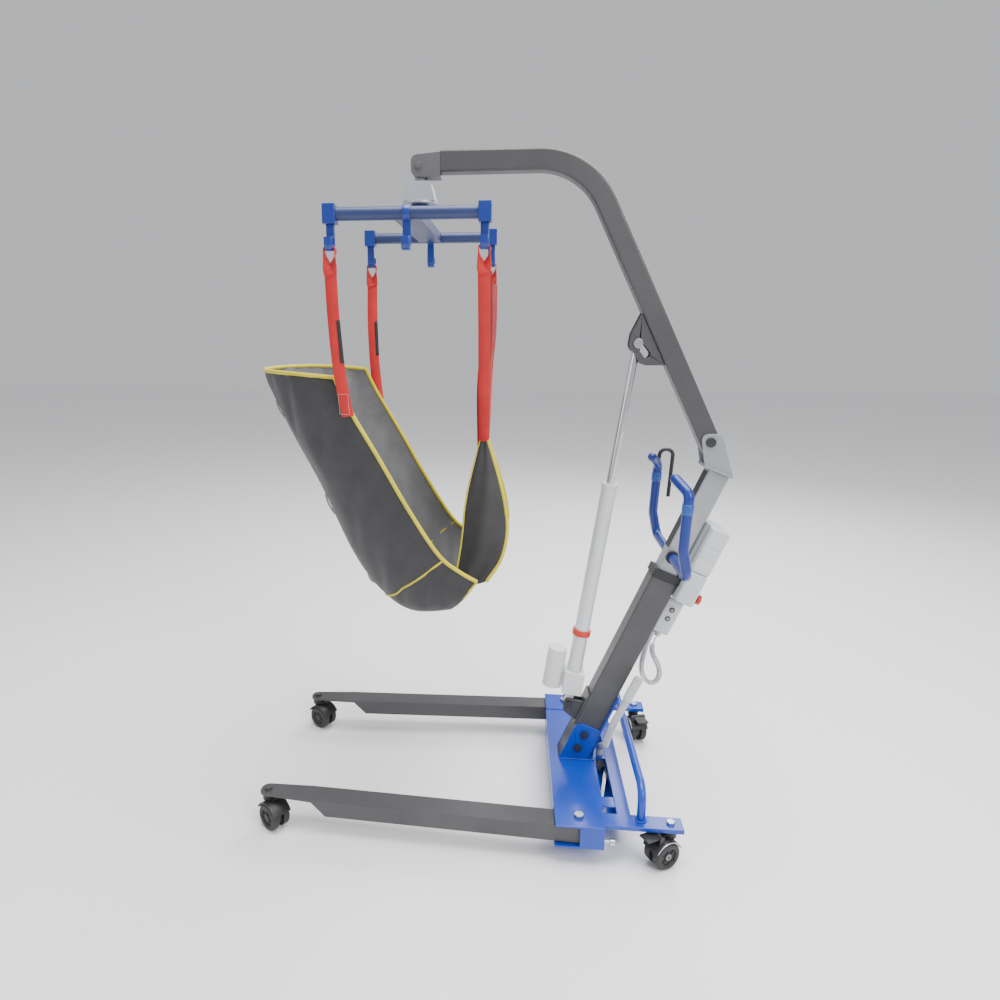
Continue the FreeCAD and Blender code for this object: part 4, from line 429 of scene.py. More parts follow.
def copies_along(name, tree, lines, spacing, shape_size, material):
    """One mesh of small shapes along several lines."""
    points, edges = [], []
    for line in lines:
        first = len(points)
        points += [tuple(p) for p in line]
        edges += [(first + i, first + i + 1) for i in range(len(line) - 1)]
    carrier = mesh_object(name + "_line", points, [], edges=edges, smooth=False)
    modifier = carrier.modifiers.new("copies", "NODES")
    modifier.node_group = tree
    sockets = {item.name: item.identifier for item in tree.interface.items_tree if item.in_out == "INPUT"}
    modifier[sockets["Spacing"]] = spacing
    modifier[sockets["Size"]] = shape_size
    modifier[sockets["Finish"]] = material
    bpy.context.view_layer.update()
    mesh = bpy.data.meshes.new_from_object(carrier.evaluated_get(bpy.context.evaluated_depsgraph_get()))
    bpy.data.objects.remove(carrier)
    thing = bpy.data.objects.new(name, mesh)
    scene.collection.objects.link(thing)
    mesh.polygons.foreach_set("use_smooth", [True] * len(mesh.polygons))
    return thing


def ring_line(centre, axis, radius, steps=32, start=0.0, sweep=2 * math.pi):
    """Points round a circle, or along an arc of it."""
    axis = Vector(axis).normalized()
    side = axis.orthogonal().normalized()
    up = axis.cross(side)
    return [Vector(centre) + side * radius * math.cos(start + sweep * i / steps)
            + up * radius * math.sin(start + sweep * i / steps) for i in range(steps + 1)]


deck_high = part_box("base_deck")[1]
pocket_low, pocket_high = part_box("leg_pockets")
guard_low, guard_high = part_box("guard_tube")
weld_inset = 0.004
pocket_run = np.linspace(pocket_low.x + weld_inset, pocket_high.x - weld_inset, 6)
weld_lines = [[(x, sign * deck_high.y, deck_high.z + 0.0005) for x in pocket_run] for sign in (-1, 1)]
guard_foot_radius = 0.0125
for sign in (-1, 1):
    foot = ((guard_low.x + guard_high.x) / 2, sign * (guard_high.y - 0.011), guard_low.z + 0.0015)
    weld_lines.append(ring_line(foot, (0, 0, 1), guard_foot_radius))
bracket_low, bracket_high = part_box("mast_foot_bracket")
bracket_run = np.linspace(bracket_low.x + weld_inset, deck_high.x - 0.07, 6)
for y in (bracket_low.y, bracket_high.y):
    weld_lines.append([(x, y, deck_high.z + 0.001) for x in bracket_run])
welds = copies_along("base_welds", bead_tree, weld_lines, 0.0026, (0.0046, 0.0056, 0.0044), blue_enamel)
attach(welds, "base")

# -------------------- leg spreading lever and tie rods
# Bent steel lever with a moulded grip, standing in the deck. Zinc tie rods under the deck push the
# two legs apart when it is turned.

lever_paint = finish_material("lever_paint", (0.50, 0.52, 0.53), (0.42, 0.44, 0.45), 0.34, coat=0.3)
black_plastic = finish_material("black_plastic", (0.013, 0.013, 0.014), (0.020, 0.020, 0.022), 0.46,
                                bump=0.16, grain=1400)
dress(lever_paint, "spread_lever")
dress(pale_plastic, "lever_grip")
dress(zinc, "tie_rod_left", "tie_rod_right")

# -------------------- legs
# Rectangular steel tubes in textured grey powder paint. Each turns on a bolt in its pocket and
# carries its front castor on a flat tongue, welded in where the tube is cut on a slant.

grey_powder = finish_material("grey_powder", (0.062, 0.062, 0.065), (0.046, 0.046, 0.049), 0.42, coat=0.08,
                              bump=0.28, grain=1100, scale=5)
dress(grey_powder, "leg_assembly_left", "leg_assembly_right")
soften(0.0018, "leg_assembly_left", "leg_assembly_right")

# -------------------- castors
# Twin-wheel castors moulded in black nylon, with grey hub caps on the rear pair and black ones on
# the front. The rear pair have a pedal brake and a bright trim over the hood.


def band_faces(rings, size):
    """The faces between rings of points laid out one ring after another."""
    return [(r * size + k, r * size + (k + 1) % size, (r + 1) * size + (k + 1) % size, (r + 1) * size + k)
            for r in range(rings - 1) for k in range(size)]


def tube_mesh(name, line, radius, material, sides=14, closed=False):
    """A round tube along a line, with closed ends, its radius one number or one for each point."""
    points = []
    radii = [radius] * len(line) if isinstance(radius, (int, float)) else radius
    for at, (tangent, side, up), r in zip(line, frames_along(line), radii):
        for k in range(sides):
            angle = 2 * math.pi * k / sides
            points.append(at + side * r * math.cos(angle) + up * r * math.sin(angle))
    faces = band_faces(len(line), sides)
    if not closed:
        faces.append(tuple(range(sides))[::-1])
        faces.append(tuple((len(line) - 1) * sides + k for k in range(sides)))
    return mesh_object(name, points, faces, material)


def turned(name, profile, centre, axis, material, segments=40):
    """A solid of revolution: the profile is a list of (radius, height along the axis) from pole to pole."""
    axis = Vector(axis).normalized()
    side = axis.orthogonal().normalized()
    up = axis.cross(side)
    centre = Vector(centre)
    points, rings = [], []
    for radius, height in profile:
        if radius < 1e-6:
            rings.append([len(points)] * segments)
            points.append(centre + axis * height)
            continue
        rings.append(list(range(len(points), len(points) + segments)))
        for k in range(segments):
            angle = 2 * math.pi * k / segments
            points.append(centre + axis * height + side * radius * math.cos(angle)
                          + up * radius * math.sin(angle))
    faces = []
    for lower, upper in zip(rings, rings[1:]):
        for k in range(segments):
            n = (k + 1) % segments
            corners = [lower[k], lower[n], upper[n], upper[k]]
            unique = list(dict.fromkeys(corners))
            if len(unique) > 2:
                faces.append(tuple(unique))
    return outward(mesh_object(name, points, faces, material))


def outward(thing):
    """Turn a closed mesh's faces outwards."""
    work = bmesh.new()
    work.from_mesh(thing.data)
    bmesh.ops.recalc_face_normals(work, faces=work.faces)
    work.to_mesh(thing.data)
    work.free()
    return thing


tyre_rubber = finish_material("tyre_rubber", (0.018, 0.018, 0.019), (0.030, 0.030, 0.030), 0.58, bump=0.2)
hub_grey = finish_material("hub_grey", (0.23, 0.24, 0.25), (0.17, 0.18, 0.19), 0.42, bump=0.08)
wheel_low, wheel_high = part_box("castor_wheels_front_left")
wheel_radius = (wheel_high.z - wheel_low.z) / 2
wheel_face = hood_face = 0.0272
cap_radius = 0.0098
cap_outline = [(0, 0.0232), (cap_radius, 0.0232), (cap_radius, 0.0248), (0.0082, 0.0264), (0.004, 0.0269),
               (0, 0.0270)]
spoke_count, spoke_ends, spoke_depth = 6, (0.24, 0.61), 0.0240
trim_gap = 0.0043
for place in ("front", "rear"):
    for side in ("left", "right"):
        tag = f"{place}_{side}"
        dress(black_plastic, f"castor_{tag}")
        dress(tyre_rubber, f"castor_wheels_{tag}")
        soften(0.0008, f"castor_{tag}")
        axle = Vector(joint[f"roll_{tag}"]["axis"]).normalized()
        hub = middle(f"castor_wheels_{tag}")
        for number, way in enumerate((1, -1)):
            cap_finish = hub_grey if place == "rear" else black_plastic
            cap = turned(f"hub_cap_{tag}_{number}", cap_outline, hub, axle * way, cap_finish)
            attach(cap, f"wheels_{tag}")
            ring = ring_line(hub + axle * way * (wheel_face - 0.0004), axle, wheel_radius * 0.74, 48)
            ridge = tube_mesh(f"wheel_ring_{tag}_{number}", ring, 0.0009, tyre_rubber, 6, closed=True)
            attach(ridge, f"wheels_{tag}")
            spokes = []
            spin = axle.orthogonal().normalized()
            for k in range(spoke_count):
                ray = Matrix.Rotation(2 * math.pi * k / spoke_count, 3, axle) @ spin
                spokes.append([hub + axle * way * spoke_depth + ray * (wheel_radius * f) for f in spoke_ends])
            spoke = copies_along(f"wheel_spokes_{tag}_{number}", bead_tree, spokes, 0.0012,
                                 (0.0034, 0.0034, 0.0034), tyre_rubber)
            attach(spoke, f"wheels_{tag}")
        if place == "rear":
            for number, way in enumerate((1, -1)):
                ring = ring_line(hub + axle * way * (hood_face + 0.0002), axle, wheel_radius + trim_gap, 96)
                arc = [p for p in ring if p.z > hub.z + wheel_radius * 0.52]
                arc.sort(key=lambda p: (p - hub).cross(axle).z)
                trim = tube_mesh(f"castor_trim_{tag}_{number}", arc, 0.0015, bright_steel, 8)
                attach(trim, f"castor_{tag}")
            dress(black_plastic, f"brake_pedal_{tag}")

# -------------------- mast
# Two telescoping steel tubes leaning back: the lower in grey powder paint with a black collar, the
# upper in silver. A bolted foot bracket holds it to the deck and a two-cheek head carries the boom.

silver_paint = finish_material("silver_paint", (0.36, 0.38, 0.40), (0.30, 0.32, 0.34), 0.32, metallic=0.45,
                               coat=0.25, bump=0.05, scale=4)
dress(blue_enamel, "mast_foot_bracket")
dress(grey_powder, "mast_lower")
dress(silver_paint, "mast_upper", "mast_head")
dress(black_plastic, "mast_bushes")
dark_steel = finish_material("dark_steel", (0.07, 0.07, 0.075), (0.05, 0.05, 0.055), 0.35, metallic=0.7,
                             scale=50)
dress(dark_steel, "mast_pins")
soften(0.0014, "mast_foot_bracket")
soften(0.004, "mast_lower", "mast_upper")

# -------------------- push handles
# Round steel tube bent into two upright grips on a crossbar through the mast, in dark blue enamel,
# with a lighter sleeve near the top of each grip. A rod hook stands on the right one.

handle_blue = finish_material("handle_blue", (0.003, 0.026, 0.25), (0.002, 0.019, 0.19), 0.34, coat=0.25,
                              scale=7)
sleeve_blue = finish_material("sleeve_blue", (0.016, 0.090, 0.36), (0.012, 0.070, 0.30), 0.38, bump=0.08)
dress(handle_blue, "push_handles")
dress(black_plastic, "handle_hook")
handle_low, handle_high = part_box("push_handles")
handle_radius = 0.013
crossbar_x, crossbar_z = handle_high.x - handle_radius, handle_low.z + handle_radius + 0.002
for sign, side in ((-1, "left"), (1, "right")):
    grip_foot = Vector((crossbar_x - 0.016, sign * 0.202, crossbar_z + 0.070))
    grip_head = Vector((crossbar_x - 0.012, sign * 0.200, crossbar_z + 0.218))
    sleeve_line = [grip_foot.lerp(grip_head, f) for f in (0.640, 0.650, 0.73, 0.81, 0.820)]
    sleeve_radii = [handle_radius + extra for extra in (0.0004, 0.0014, 0.0014, 0.0014, 0.0004)]
    sleeve = tube_mesh(f"grip_sleeve_{side}", sleeve_line, sleeve_radii, sleeve_blue, 28)
    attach(sleeve, "base")

# -------------------- boom
# One long steel tube with a single bend, in grey powder paint, with a cast tip for the hanger pin
# and a folded lug underneath where the lifting rod pushes.

cast_grey = finish_material("cast_grey", (0.13, 0.13, 0.135), (0.10, 0.10, 0.105), 0.42, metallic=0.25,
                            bump=0.2)
dress(grey_powder, "boom_tube", "boom_lug")
dress(cast_grey, "boom_end")
soften(0.0012, "boom_end", "boom_lug")
soften(0.004, "boom_tube")

# -------------------- lifting actuator
# White plastic gearcase and motor at the foot, an aluminium outer tube with a red safety ring, and a
# chromed rod that pushes the boom up.

chrome = finish_material("chrome", (0.80, 0.81, 0.82), (0.72, 0.73, 0.75), 0.09, metallic=1.0, bump=0.0,
                         spread=0.05)
white_plastic = finish_material("white_plastic", (0.72, 0.73, 0.73), (0.66, 0.67, 0.67), 0.36, bump=0.06)
barrel_grey = finish_material("barrel_grey", (0.66, 0.68, 0.69), (0.60, 0.62, 0.64), 0.30, metallic=0.2,
                              coat=0.3)
ring_red = finish_material("ring_red", (0.62, 0.030, 0.008), (0.52, 0.024, 0.007), 0.38, bump=0.08)
dress(grey_powder, "actuator_mount")
dress(white_plastic, "actuator_housing", "actuator_motor")
dress(barrel_grey, "actuator_barrel")
dress(ring_red, "release_ring")
dress(chrome, "lifting_ram")
soften(0.001, "actuator_mount")

ram_way = Vector(joint["ram_slide"]["axis"]).normalized()


def extent(name, way):
    """How far a node reaches, least and most, along a direction."""
    reach = [v.co.dot(way) for v in nodes[name].data.vertices]
    return min(reach), max(reach)


barrel_low, barrel_high = extent("actuator_barrel", ram_way)
ring_middle = middle("release_ring")
barrel_axis = ring_middle - ram_way * ring_middle.dot(ram_way)
barrel_rings = ((barrel_high - 0.004, 0.0215, 0.0016), (barrel_high - 0.030, 0.0213, 0.0009),
                (barrel_low + 0.018, 0.0216, 0.0014))
for number, (along, radius, thick) in enumerate(barrel_rings):
    ring = ring_line(barrel_axis + ram_way * along, ram_way, radius, 56)
    seam = tube_mesh(f"barrel_ring_{number}", ring, thick, barrel_grey, 8, closed=True)
    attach(seam, "actuator")

# -------------------- hanger and spreader bar
# Silver swivel hub with a flange, a navy cross member and two side bars. Cast end blocks and steel
# hooks in brighter blue carry the sling's straps.

navy_paint = finish_material("navy_paint", (0.018, 0.034, 0.125), (0.013, 0.025, 0.100), 0.46, coat=0.1,
                             scale=8)
hook_blue = finish_material("hook_blue", (0.004, 0.032, 0.26), (0.003, 0.024, 0.20), 0.36, coat=0.2, scale=14)
hub_paint = finish_material("hub_paint", (0.46, 0.49, 0.53), (0.38, 0.41, 0.45), 0.34, metallic=0.35,
                            coat=0.2)
dress(hub_paint, "hanger", "swivel")
dress(navy_paint, "cross_member", "side_bars")
dress(hook_blue, "end_blocks", "sling_hooks")
soften(0.0016, "end_blocks")
soften(0.0008, "hanger", "sling_hooks")

# -------------------- control box and handset
# Pale grey moulded housings: the control box with its clip-on battery behind the upper mast, and a
# slim handset with two keys in a cradle on the lower mast.

panel_grey = finish_material("panel_grey", (0.30, 0.33, 0.35), (0.26, 0.29, 0.31), 0.34, bump=0.05)
key_grey = finish_material("key_grey", (0.11, 0.12, 0.13), (0.09, 0.10, 0.11), 0.45, bump=0.1)
lamp_green = finish_material("lamp_green", (0.05, 0.42, 0.10), (0.04, 0.36, 0.09), 0.25, coat=0.5)
dress(pale_plastic, "control_case", "battery_pack", "handset_case")
dress(panel_grey, "control_rails")
dress(ring_red, "stop_button")
dress(key_grey, "up_button", "down_button")


def rounded_outline(half_wide, half_high, radius, steps=5):
    """Corner points of a rounded rectangle about the origin."""
    outline = []
    for quarter, (sx, sy) in enumerate(((1, 1), (-1, 1), (-1, -1), (1, -1))):
        for k in range(steps + 1):
            angle = math.pi / 2 * (quarter + k / steps)
            outline.append((sx * (half_wide - radius) + radius * math.cos(angle),
                            sy * (half_high - radius) + radius * math.sin(angle)))
    return outline


def raised_panel(name, outline, centre, right, up, height, material, body):
    """A thin panel standing off a surface, with a small chamfer round its edge."""
    out = right.cross(up)
    rings = ((1.0, -0.0006), (1.0, height - 0.0004), (0.985, height))
    points, count = [], len(outline)
    for scale, level in rings:
        points += [centre + right * (a * scale) + up * (b * scale) + out * level for a, b in outline]
    faces = [tuple(range(count))[::-1], tuple(2 * count + k for k in range(count))]
    faces += band_faces(len(rings), count)
    panel = outward(mesh_object(name, points, faces, material, smooth=False))
    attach(panel, body)
    return panel


# A black strip over the whole front face of the upper mast, from the head down to the bushes: painted shade,
# a dark sheet standing in for the shadow on that face.
strip_along = extent("mast_upper", mast_up)[1] - 0.008, extent("mast_bushes", mast_up)[1] + 0.002
strip_middle = mast_up * (sum(strip_along) / 2) + mast_out * extent("mast_upper", mast_out)[0]
strip_half = (strip_along[0] - strip_along[1]) / 2
raised_panel("mast_front_shade_strip", rounded_outline(0.0200, strip_half, 0.003), strip_middle,
             mast_up.cross(mast_out), mast_up, 0.0012, black_plastic, "base")

battery_along = extent("battery_pack", mast_up)
battery_across = extent("battery_pack", mast_out)
battery_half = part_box("battery_pack")[1].y
outward_side = mast_up.cross(mast_out) * -1
battery_middle = mast_up * (sum(battery_along) / 2) + mast_out * battery_across[1]
raised_panel("battery_panel", rounded_outline(0.046, 0.050, 0.008), battery_middle,
             outward_side, mast_up, 0.0012, panel_grey, "battery")
for number in range(4):
    place = battery_middle + mast_up * 0.034 + outward_side * (0.012 * number - 0.018) + mast_out * 0.0012
    raised_panel(f"battery_lamp_{number}", rounded_outline(0.0035, 0.0018, 0.0012, 3), place, outward_side,
                 mast_up, 0.0007, lamp_green, "battery")
for side, sign in (("left", -1), ("right", 1)):
    face = (mast_up * (sum(battery_along) / 2) + mast_out * (sum(battery_across) / 2)
            + Vector((0, sign * battery_half, 0)))
    right = mast_out * (1 if sign < 0 else -1)
    for number in range(3):
        place = face + mast_up * (0.018 - 0.018 * number)
        raised_panel(f"battery_rib_{side}_{number}", rounded_outline(0.016, 0.0022, 0.0018, 3), place, right,
                     mast_up, 0.0010, pale_plastic, "battery")

for name, key, turn_way in (("up", "up_button", 1), ("down", "down_button", -1)):
    at = middle(key)
    tip = Vector((at.x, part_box(key)[0].y, at.z))
    arrow = [(-0.0034, -0.0022 * turn_way), (0.0034, -0.0022 * turn_way), (0, 0.0034 * turn_way)]
    raised_panel(f"{name}_arrow", arrow, tip, mast_out, mast_up, 0.0004, pale_plastic, name + "_button")

# -------------------- sling
# A hammock of charcoal polyester cloth hung between the two side bars. Yellow binding is sewn round
# its edges, and a seam crosses it where the seat meets the leg pieces.

hook_x = (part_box("sling_hooks")[0].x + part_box("sling_hooks")[1].x) / 2
bar_low, bar_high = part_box("side_bars")
spreader_z = (bar_low.z + bar_high.z) / 2
hook_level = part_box("sling_hooks")[0].z + 0.008
sling_stations = [
    ((-0.424, -0.354), (-0.192, -0.374), 0.196),
    ((-0.352, -0.511), (-0.158, -0.446), 0.203),
    ((-0.270, -0.670), (-0.084, -0.572), 0.204),
    ((-0.188, -0.861), (-0.007, -0.708), 0.203),
    ((-0.117, -0.966), (0.068, -0.824), 0.200),
    ((-0.030, -1.026), (0.122, -0.870), 0.196),
    ((0.090, -1.014), (0.168, -0.898), 0.190),
]


def spline_span(before, first, second, after, t):
    """A place between first and second on a smooth curve that passes through all four."""
    return 0.5 * (2 * first + (second - before) * t + (2 * before - 5 * first + 4 * second - after) * t * t
                  + (3 * first - before - 3 * second + after) * t ** 3)


def eased(rows, way):
    """The row at a fraction of a table's length, eased between the table's own rows."""
    place = way * (len(rows) - 1)
    index = min(int(place), len(rows) - 2)
    before, after = rows[max(index - 1, 0)], rows[min(index + 2, len(rows) - 1)]
    return spline_span(before, rows[index], rows[index + 1], after, place - index)


station_rows = np.array([[*back, *edge, half] for back, edge, half in sling_stations])


def sling_place(across, along):
    """Where a point of the cloth hangs: across runs 0 to 1 from edge to edge, along from hem to seat."""
    back_x, back_z, edge_x, edge_z, half = eased(station_rows, along)
    angle = math.pi * across
    rise = 1 - math.sin(angle) ** 0.8
    x = back_x + (edge_x - back_x) * rise
    z = back_z + (edge_z - back_z) * rise
    fold = math.sin(math.pi * across) * (1 - along) ** 1.5
    ripple = 0.006 * fold * math.sin(21 * across + 5 * along) * math.sin(min(1, along * 9) * math.pi / 2)
    hem_dip = -0.010 * math.sin(math.pi * across) ** 2 * max(0, 1 - along * 8)
    return Vector((hook_x + x + ripple, -half * math.cos(angle) * 0.985, spreader_z + z + hem_dip))


def cloth_finish(name, colour, dark, roughness, sheen, thread=0.0016, bump=0.5):
    """Woven cloth: crossing threads and slow changes of shade, with a soft sheen."""
    material, tree, shader = new_material(name)
    group = mottled(tree, shader, colour, dark, roughness, scale=14, grain=400, spread=0.2)
    uv = tree.nodes.new("ShaderNodeUVMap")
    uv.uv_map = "cloth"
    threads = []
    for direction in ("X", "Y"):
        wave = tree.nodes.new("ShaderNodeTexWave")
        wave.bands_direction = direction
        wave.inputs["Scale"].default_value = 0.31 / thread
        wave.inputs["Distortion"].default_value = 0.6
        wave.inputs["Detail"].default_value = 1
        tree.links.new(uv.outputs["UV"], wave.inputs["Vector"])
        threads.append(wave.outputs["Fac"])
    woven = math_node(tree, "MULTIPLY", threads[0], threads[1])
    thread_colour = (*[c * 1.5 for c in colour], 1)
    shade = mix_colour(tree, math_node(tree, "MULTIPLY", woven, 0.45), group.outputs["Colour"], thread_colour)
    tree.links.new(shade, shader.inputs["Base Color"])
    relief = tree.nodes.new("ShaderNodeBump")
    relief.inputs["Strength"].default_value = bump
    relief.inputs["Distance"].default_value = 0.0005
    tree.links.new(woven, relief.inputs["Height"])
    tree.links.new(relief.outputs["Normal"], shader.inputs["Normal"])
    shader.inputs["Sheen Weight"].default_value = sheen
    shader.inputs["Sheen Roughness"].default_value = 0.45
    return material


charcoal_cloth = cloth_finish("charcoal_cloth", (0.026, 0.026, 0.028), (0.018, 0.018, 0.020), 0.60, 0.14)
lining_cloth = cloth_finish("lining_cloth", (0.150, 0.151, 0.156), (0.120, 0.121, 0.126), 0.74, 0.15)
binding_yellow = cloth_finish("binding_yellow", (0.62, 0.52, 0.012), (0.50, 0.42, 0.010), 0.66, 0.1,
                              thread=0.001, bump=0.3)
pale_webbing = cloth_finish("pale_webbing", (0.42, 0.40, 0.38), (0.34, 0.32, 0.31), 0.62, 0.1, thread=0.0021)


def cloth_grid(name, place, wide, long, columns, rows, material):
    """A sheet laid out as a grid, with its own size in metres as UV coordinates."""
    points = [place(c / columns, r / rows) for r in range(rows + 1) for c in range(columns + 1)]
    faces = []
    for r in range(rows):
        for c in range(columns):
            a = r * (columns + 1) + c
            faces.append((a, a + 1, a + columns + 2, a + columns + 1))
    sheet_piece = mesh_object(name, points, faces, material)
    layer = sheet_piece.data.uv_layers.new(name="cloth")
    for loop in sheet_piece.data.loops:
        row, column = divmod(loop.vertex_index, columns + 1)
        layer.data[loop.index].uv = (wide * column / columns, long * row / rows)
    return sheet_piece


def hang_cloth(piece, pinned, most, steps=16, growth=0.035):
    """Let the cloth sag and buckle between its pinned points, moving no point further than the cap."""
    start = [v.co.copy() for v in piece.data.vertices]
    group = piece.vertex_groups.new(name="pinned")
    for index, weight in pinned.items():
        group.add([index], weight, "REPLACE")
    modifier = piece.modifiers.new("hang", "CLOTH")
    settings = modifier.settings
    settings.quality = 6
    settings.mass = 0.25
    settings.tension_stiffness = 30
    settings.compression_stiffness = 30
    settings.shear_stiffness = 10
    settings.bending_stiffness = 0.6
    settings.vertex_group_mass = "pinned"
    settings.shrink_min = -growth
    modifier.collision_settings.use_collision = False
    modifier.point_cache.frame_start = 1
    modifier.point_cache.frame_end = steps
    for number in range(1, steps + 1):
        scene.frame_set(number)
    hung = piece.evaluated_get(bpy.context.evaluated_depsgraph_get()).to_mesh()
    moved = [v.co.copy() for v in hung.vertices]
    piece.modifiers.remove(modifier)
    for vertex, before, after in zip(piece.data.vertices, start, moved):
        step = after - before
        vertex.co = before + step * min(1, most / max(step.length, 1e-9))
    scene.frame_set(1)


def smooth_line(points, count):
    """Points along a gentle curve through a few chosen ones."""
    rows = np.array([tuple(p) for p in points])
    line = []
    for k in range(count + 1):
        place = k / count * (len(rows) - 1)
        index = min(int(place), len(rows) - 2)
        a, b = rows[index], rows[index + 1]
        before = rows[index - 1] if index else 2 * a - b
        after = rows[index + 2] if index + 2 < len(rows) else 2 * b - a
        line.append(spline_span(before, a, b, after, place - index))
    return line


def thicken(piece, thickness):
    """Give a sheet its thickness, with its second material, if it has one, on the inner side."""
    shell = piece.modifiers.new("cloth_thickness", "SOLIDIFY")
    shell.thickness = thickness
    shell.offset = 0
    shell.material_offset = len(piece.data.materials) - 1
    smooth = piece.modifiers.new("smooth", "SUBSURF")
    smooth.levels = smooth.render_levels = 1


def lay_threads(thing, slant=1.0):
    """UV coordinates for the weave of a thin sewn piece, in metres, taken from its place in space."""
    layer = thing.data.uv_layers.new(name="cloth")
    for loop in thing.data.loops:
        co = thing.data.vertices[loop.vertex_index].co
        layer.data[loop.index].uv = (co.x + slant * co.y, co.z)


def sheet_area(thing):
    return sum(f.area for f in thing.data.polygons)


sling_columns, sling_rows = 44, 84
sling_sheet = cloth_grid("sling_sheet", sling_place, 0.74, 1.0, sling_columns, sling_rows, charcoal_cloth)
pins = {}
for row in range(sling_rows + 1):
    for column in range(sling_columns + 1):
        edge_room = min(column, sling_columns - column, row * 2, (sling_rows - row) * 2)
        if edge_room < 3:
            pins[row * (sling_columns + 1) + column] = 1 - 0.3 * edge_room
hang_cloth(sling_sheet, pins, 0.011)
grid = [v.co.copy() for v in sling_sheet.data.vertices]


def grid_line(column=None, row=None):
    """The points along one column or one row of the hung sling."""
    if column is not None:
        return [grid[r * (sling_columns + 1) + column] for r in range(sling_rows + 1)]
    return [grid[row * (sling_columns + 1) + c] for c in range(sling_columns + 1)]


print("sling area", round(sheet_area(sling_sheet), 3))
sling_sheet.data.materials.append(lining_cloth)
thicken(sling_sheet, 0.0035)


def hang_from_spreader(thing, slot, *replaced):
    """A soft piece on the spreader: its modifiers applied, it rides with the spreader and hides the CAD nodes
    it replaces.
    """
    if thing.modifiers:
        mesh = bpy.data.meshes.new_from_object(thing.evaluated_get(bpy.context.evaluated_depsgraph_get()))
        thing.modifiers.clear()
        thing.data = mesh
    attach(thing, "spreader")
    if replaced:
        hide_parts(*replaced)
    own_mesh(thing)


hang_from_spreader(sling_sheet, "sling_fabric", "sling_body")

hem_radius, seat_hem_radius = 0.0052, 0.0036
bindings = []
for name, line, radius in (
    ("edge_binding_left", grid_line(column=0), hem_radius),
    ("edge_binding_right", grid_line(column=sling_columns), hem_radius),
    ("top_binding", grid_line(row=0), hem_radius),
    ("seat_binding", grid_line(row=sling_rows), seat_hem_radius),
):
    bindings.append(tube_mesh(name, line, radius, binding_yellow, 10))
seam_row = round(sling_rows * 0.70)
seam_line = [p + (p - Vector((0.0, 0, 1.2))).normalized() * 0.0016 for p in grid_line(row=seam_row)]
bindings.append(tube_mesh("cross_seam", seam_line, 0.0030, binding_yellow, 8))
for piece in bindings:
    lay_threads(piece)
    hang_from_spreader(piece, "sling_fabric")

# Grab loops of pale webbing, bar-tacked across the outside of the back.
for number, (along, across) in enumerate(((0.10, 0.36), (0.36, 0.44), (0.60, 0.44))):
    places = []
    for step in range(5):
        spot = (round(sling_rows * along) + step) * (sling_columns + 1) + round(sling_columns * across)
        here, near, below = grid[spot], grid[spot + 2], grid[spot + 2 * (sling_columns + 1)]
        away = (near - here).cross(below - here).normalized()
        away = away if away.z < 0 or away.x < 0 else -away
        lift = 0.0030 + 0.0045 * math.sin(math.pi * step / 4)
        places.append(here + away * lift)
    grab_line = resampled(smooth_line(places, 16), 0.004)[0]
    grab = tube_mesh(f"grab_loop_{number}", grab_line, 0.0028, pale_webbing, 8)
    lay_threads(grab)
    hang_from_spreader(grab, "sling_fabric")

# -------------------- leg pieces of the sling
# Two padded tongues of the same cloth that pass under the thighs and come up between them. Each is
# bound in yellow.

flap_front_edge = np.array([(0.164, -0.554), (0.150, -0.615), (0.136, -0.676), (0.126, -0.740),
                            (0.122, -0.800), (0.112, -0.880), (0.094, -0.962)])
flap_rear_edge = np.array([(0.184, -0.554), (0.204, -0.612), (0.224, -0.676), (0.238, -0.738),
                           (0.243, -0.800), (0.228, -0.870), (0.190, -0.930)])
flap_wide, flap_long = 0.12, 0.42
flap_top_gap, flap_low_gap = 0.009, 0.096


def flap_place(sign, across, down):
    """Where a point of a leg piece hangs: across runs from its front edge to its rear one."""
    front, rear = eased(flap_front_edge, down), eased(flap_rear_edge, down)
    spot = front + (rear - front) * across
    gap = flap_top_gap + (flap_low_gap - flap_top_gap) * down
    crown = 0.016 * math.sin(math.pi * across) * math.sin(math.pi * min(1, down * 1.1)) ** 0.7
    fold = 0.003 * math.sin(9 * across + 6 * down) * math.sin(math.pi * across)
    return Vector((hook_x + spot[0], sign * (gap + crown + fold), spreader_z + spot[1]))


flap_columns, flap_rows = 18, 44
for side, sign in (("left", -1), ("right", 1)):
    flap = cloth_grid(f"leg_piece_{side}", partial(flap_place, sign), flap_wide, flap_long, flap_columns,
                      flap_rows, charcoal_cloth)
    flap_grid = [v.co.copy() for v in flap.data.vertices]
    print("flap area", round(sheet_area(flap), 4))
    thicken(flap, 0.004)
    hang_from_spreader(flap, "sling_fabric", "leg_flaps")
    for label, column, thick in (("front", flap_columns, 0.0050), ("rear", 0, 0.0030)):
        line = [flap_grid[r * (flap_columns + 1) + column] for r in range(flap_rows + 1)]
        trim = tube_mesh(f"leg_binding_{side}_{label}", line, thick, binding_yellow, 10)
        lay_threads(trim, slant=0.0)
        hang_from_spreader(trim, "sling_fabric")

# -------------------- straps
# Red polyester webbing, looped through each hook and sewn down on the sling. The leg straps are
# doubled, their inner layer painted darker as shade, and each shoulder strap has a black marker sewn
# along one edge.

webbing_thread = 0.0021
red_webbing = cloth_finish("red_webbing", (0.52, 0.006, 0.006), (0.42, 0.005, 0.005), 0.58, 0.1,
                           thread=webbing_thread, bump=0.6)
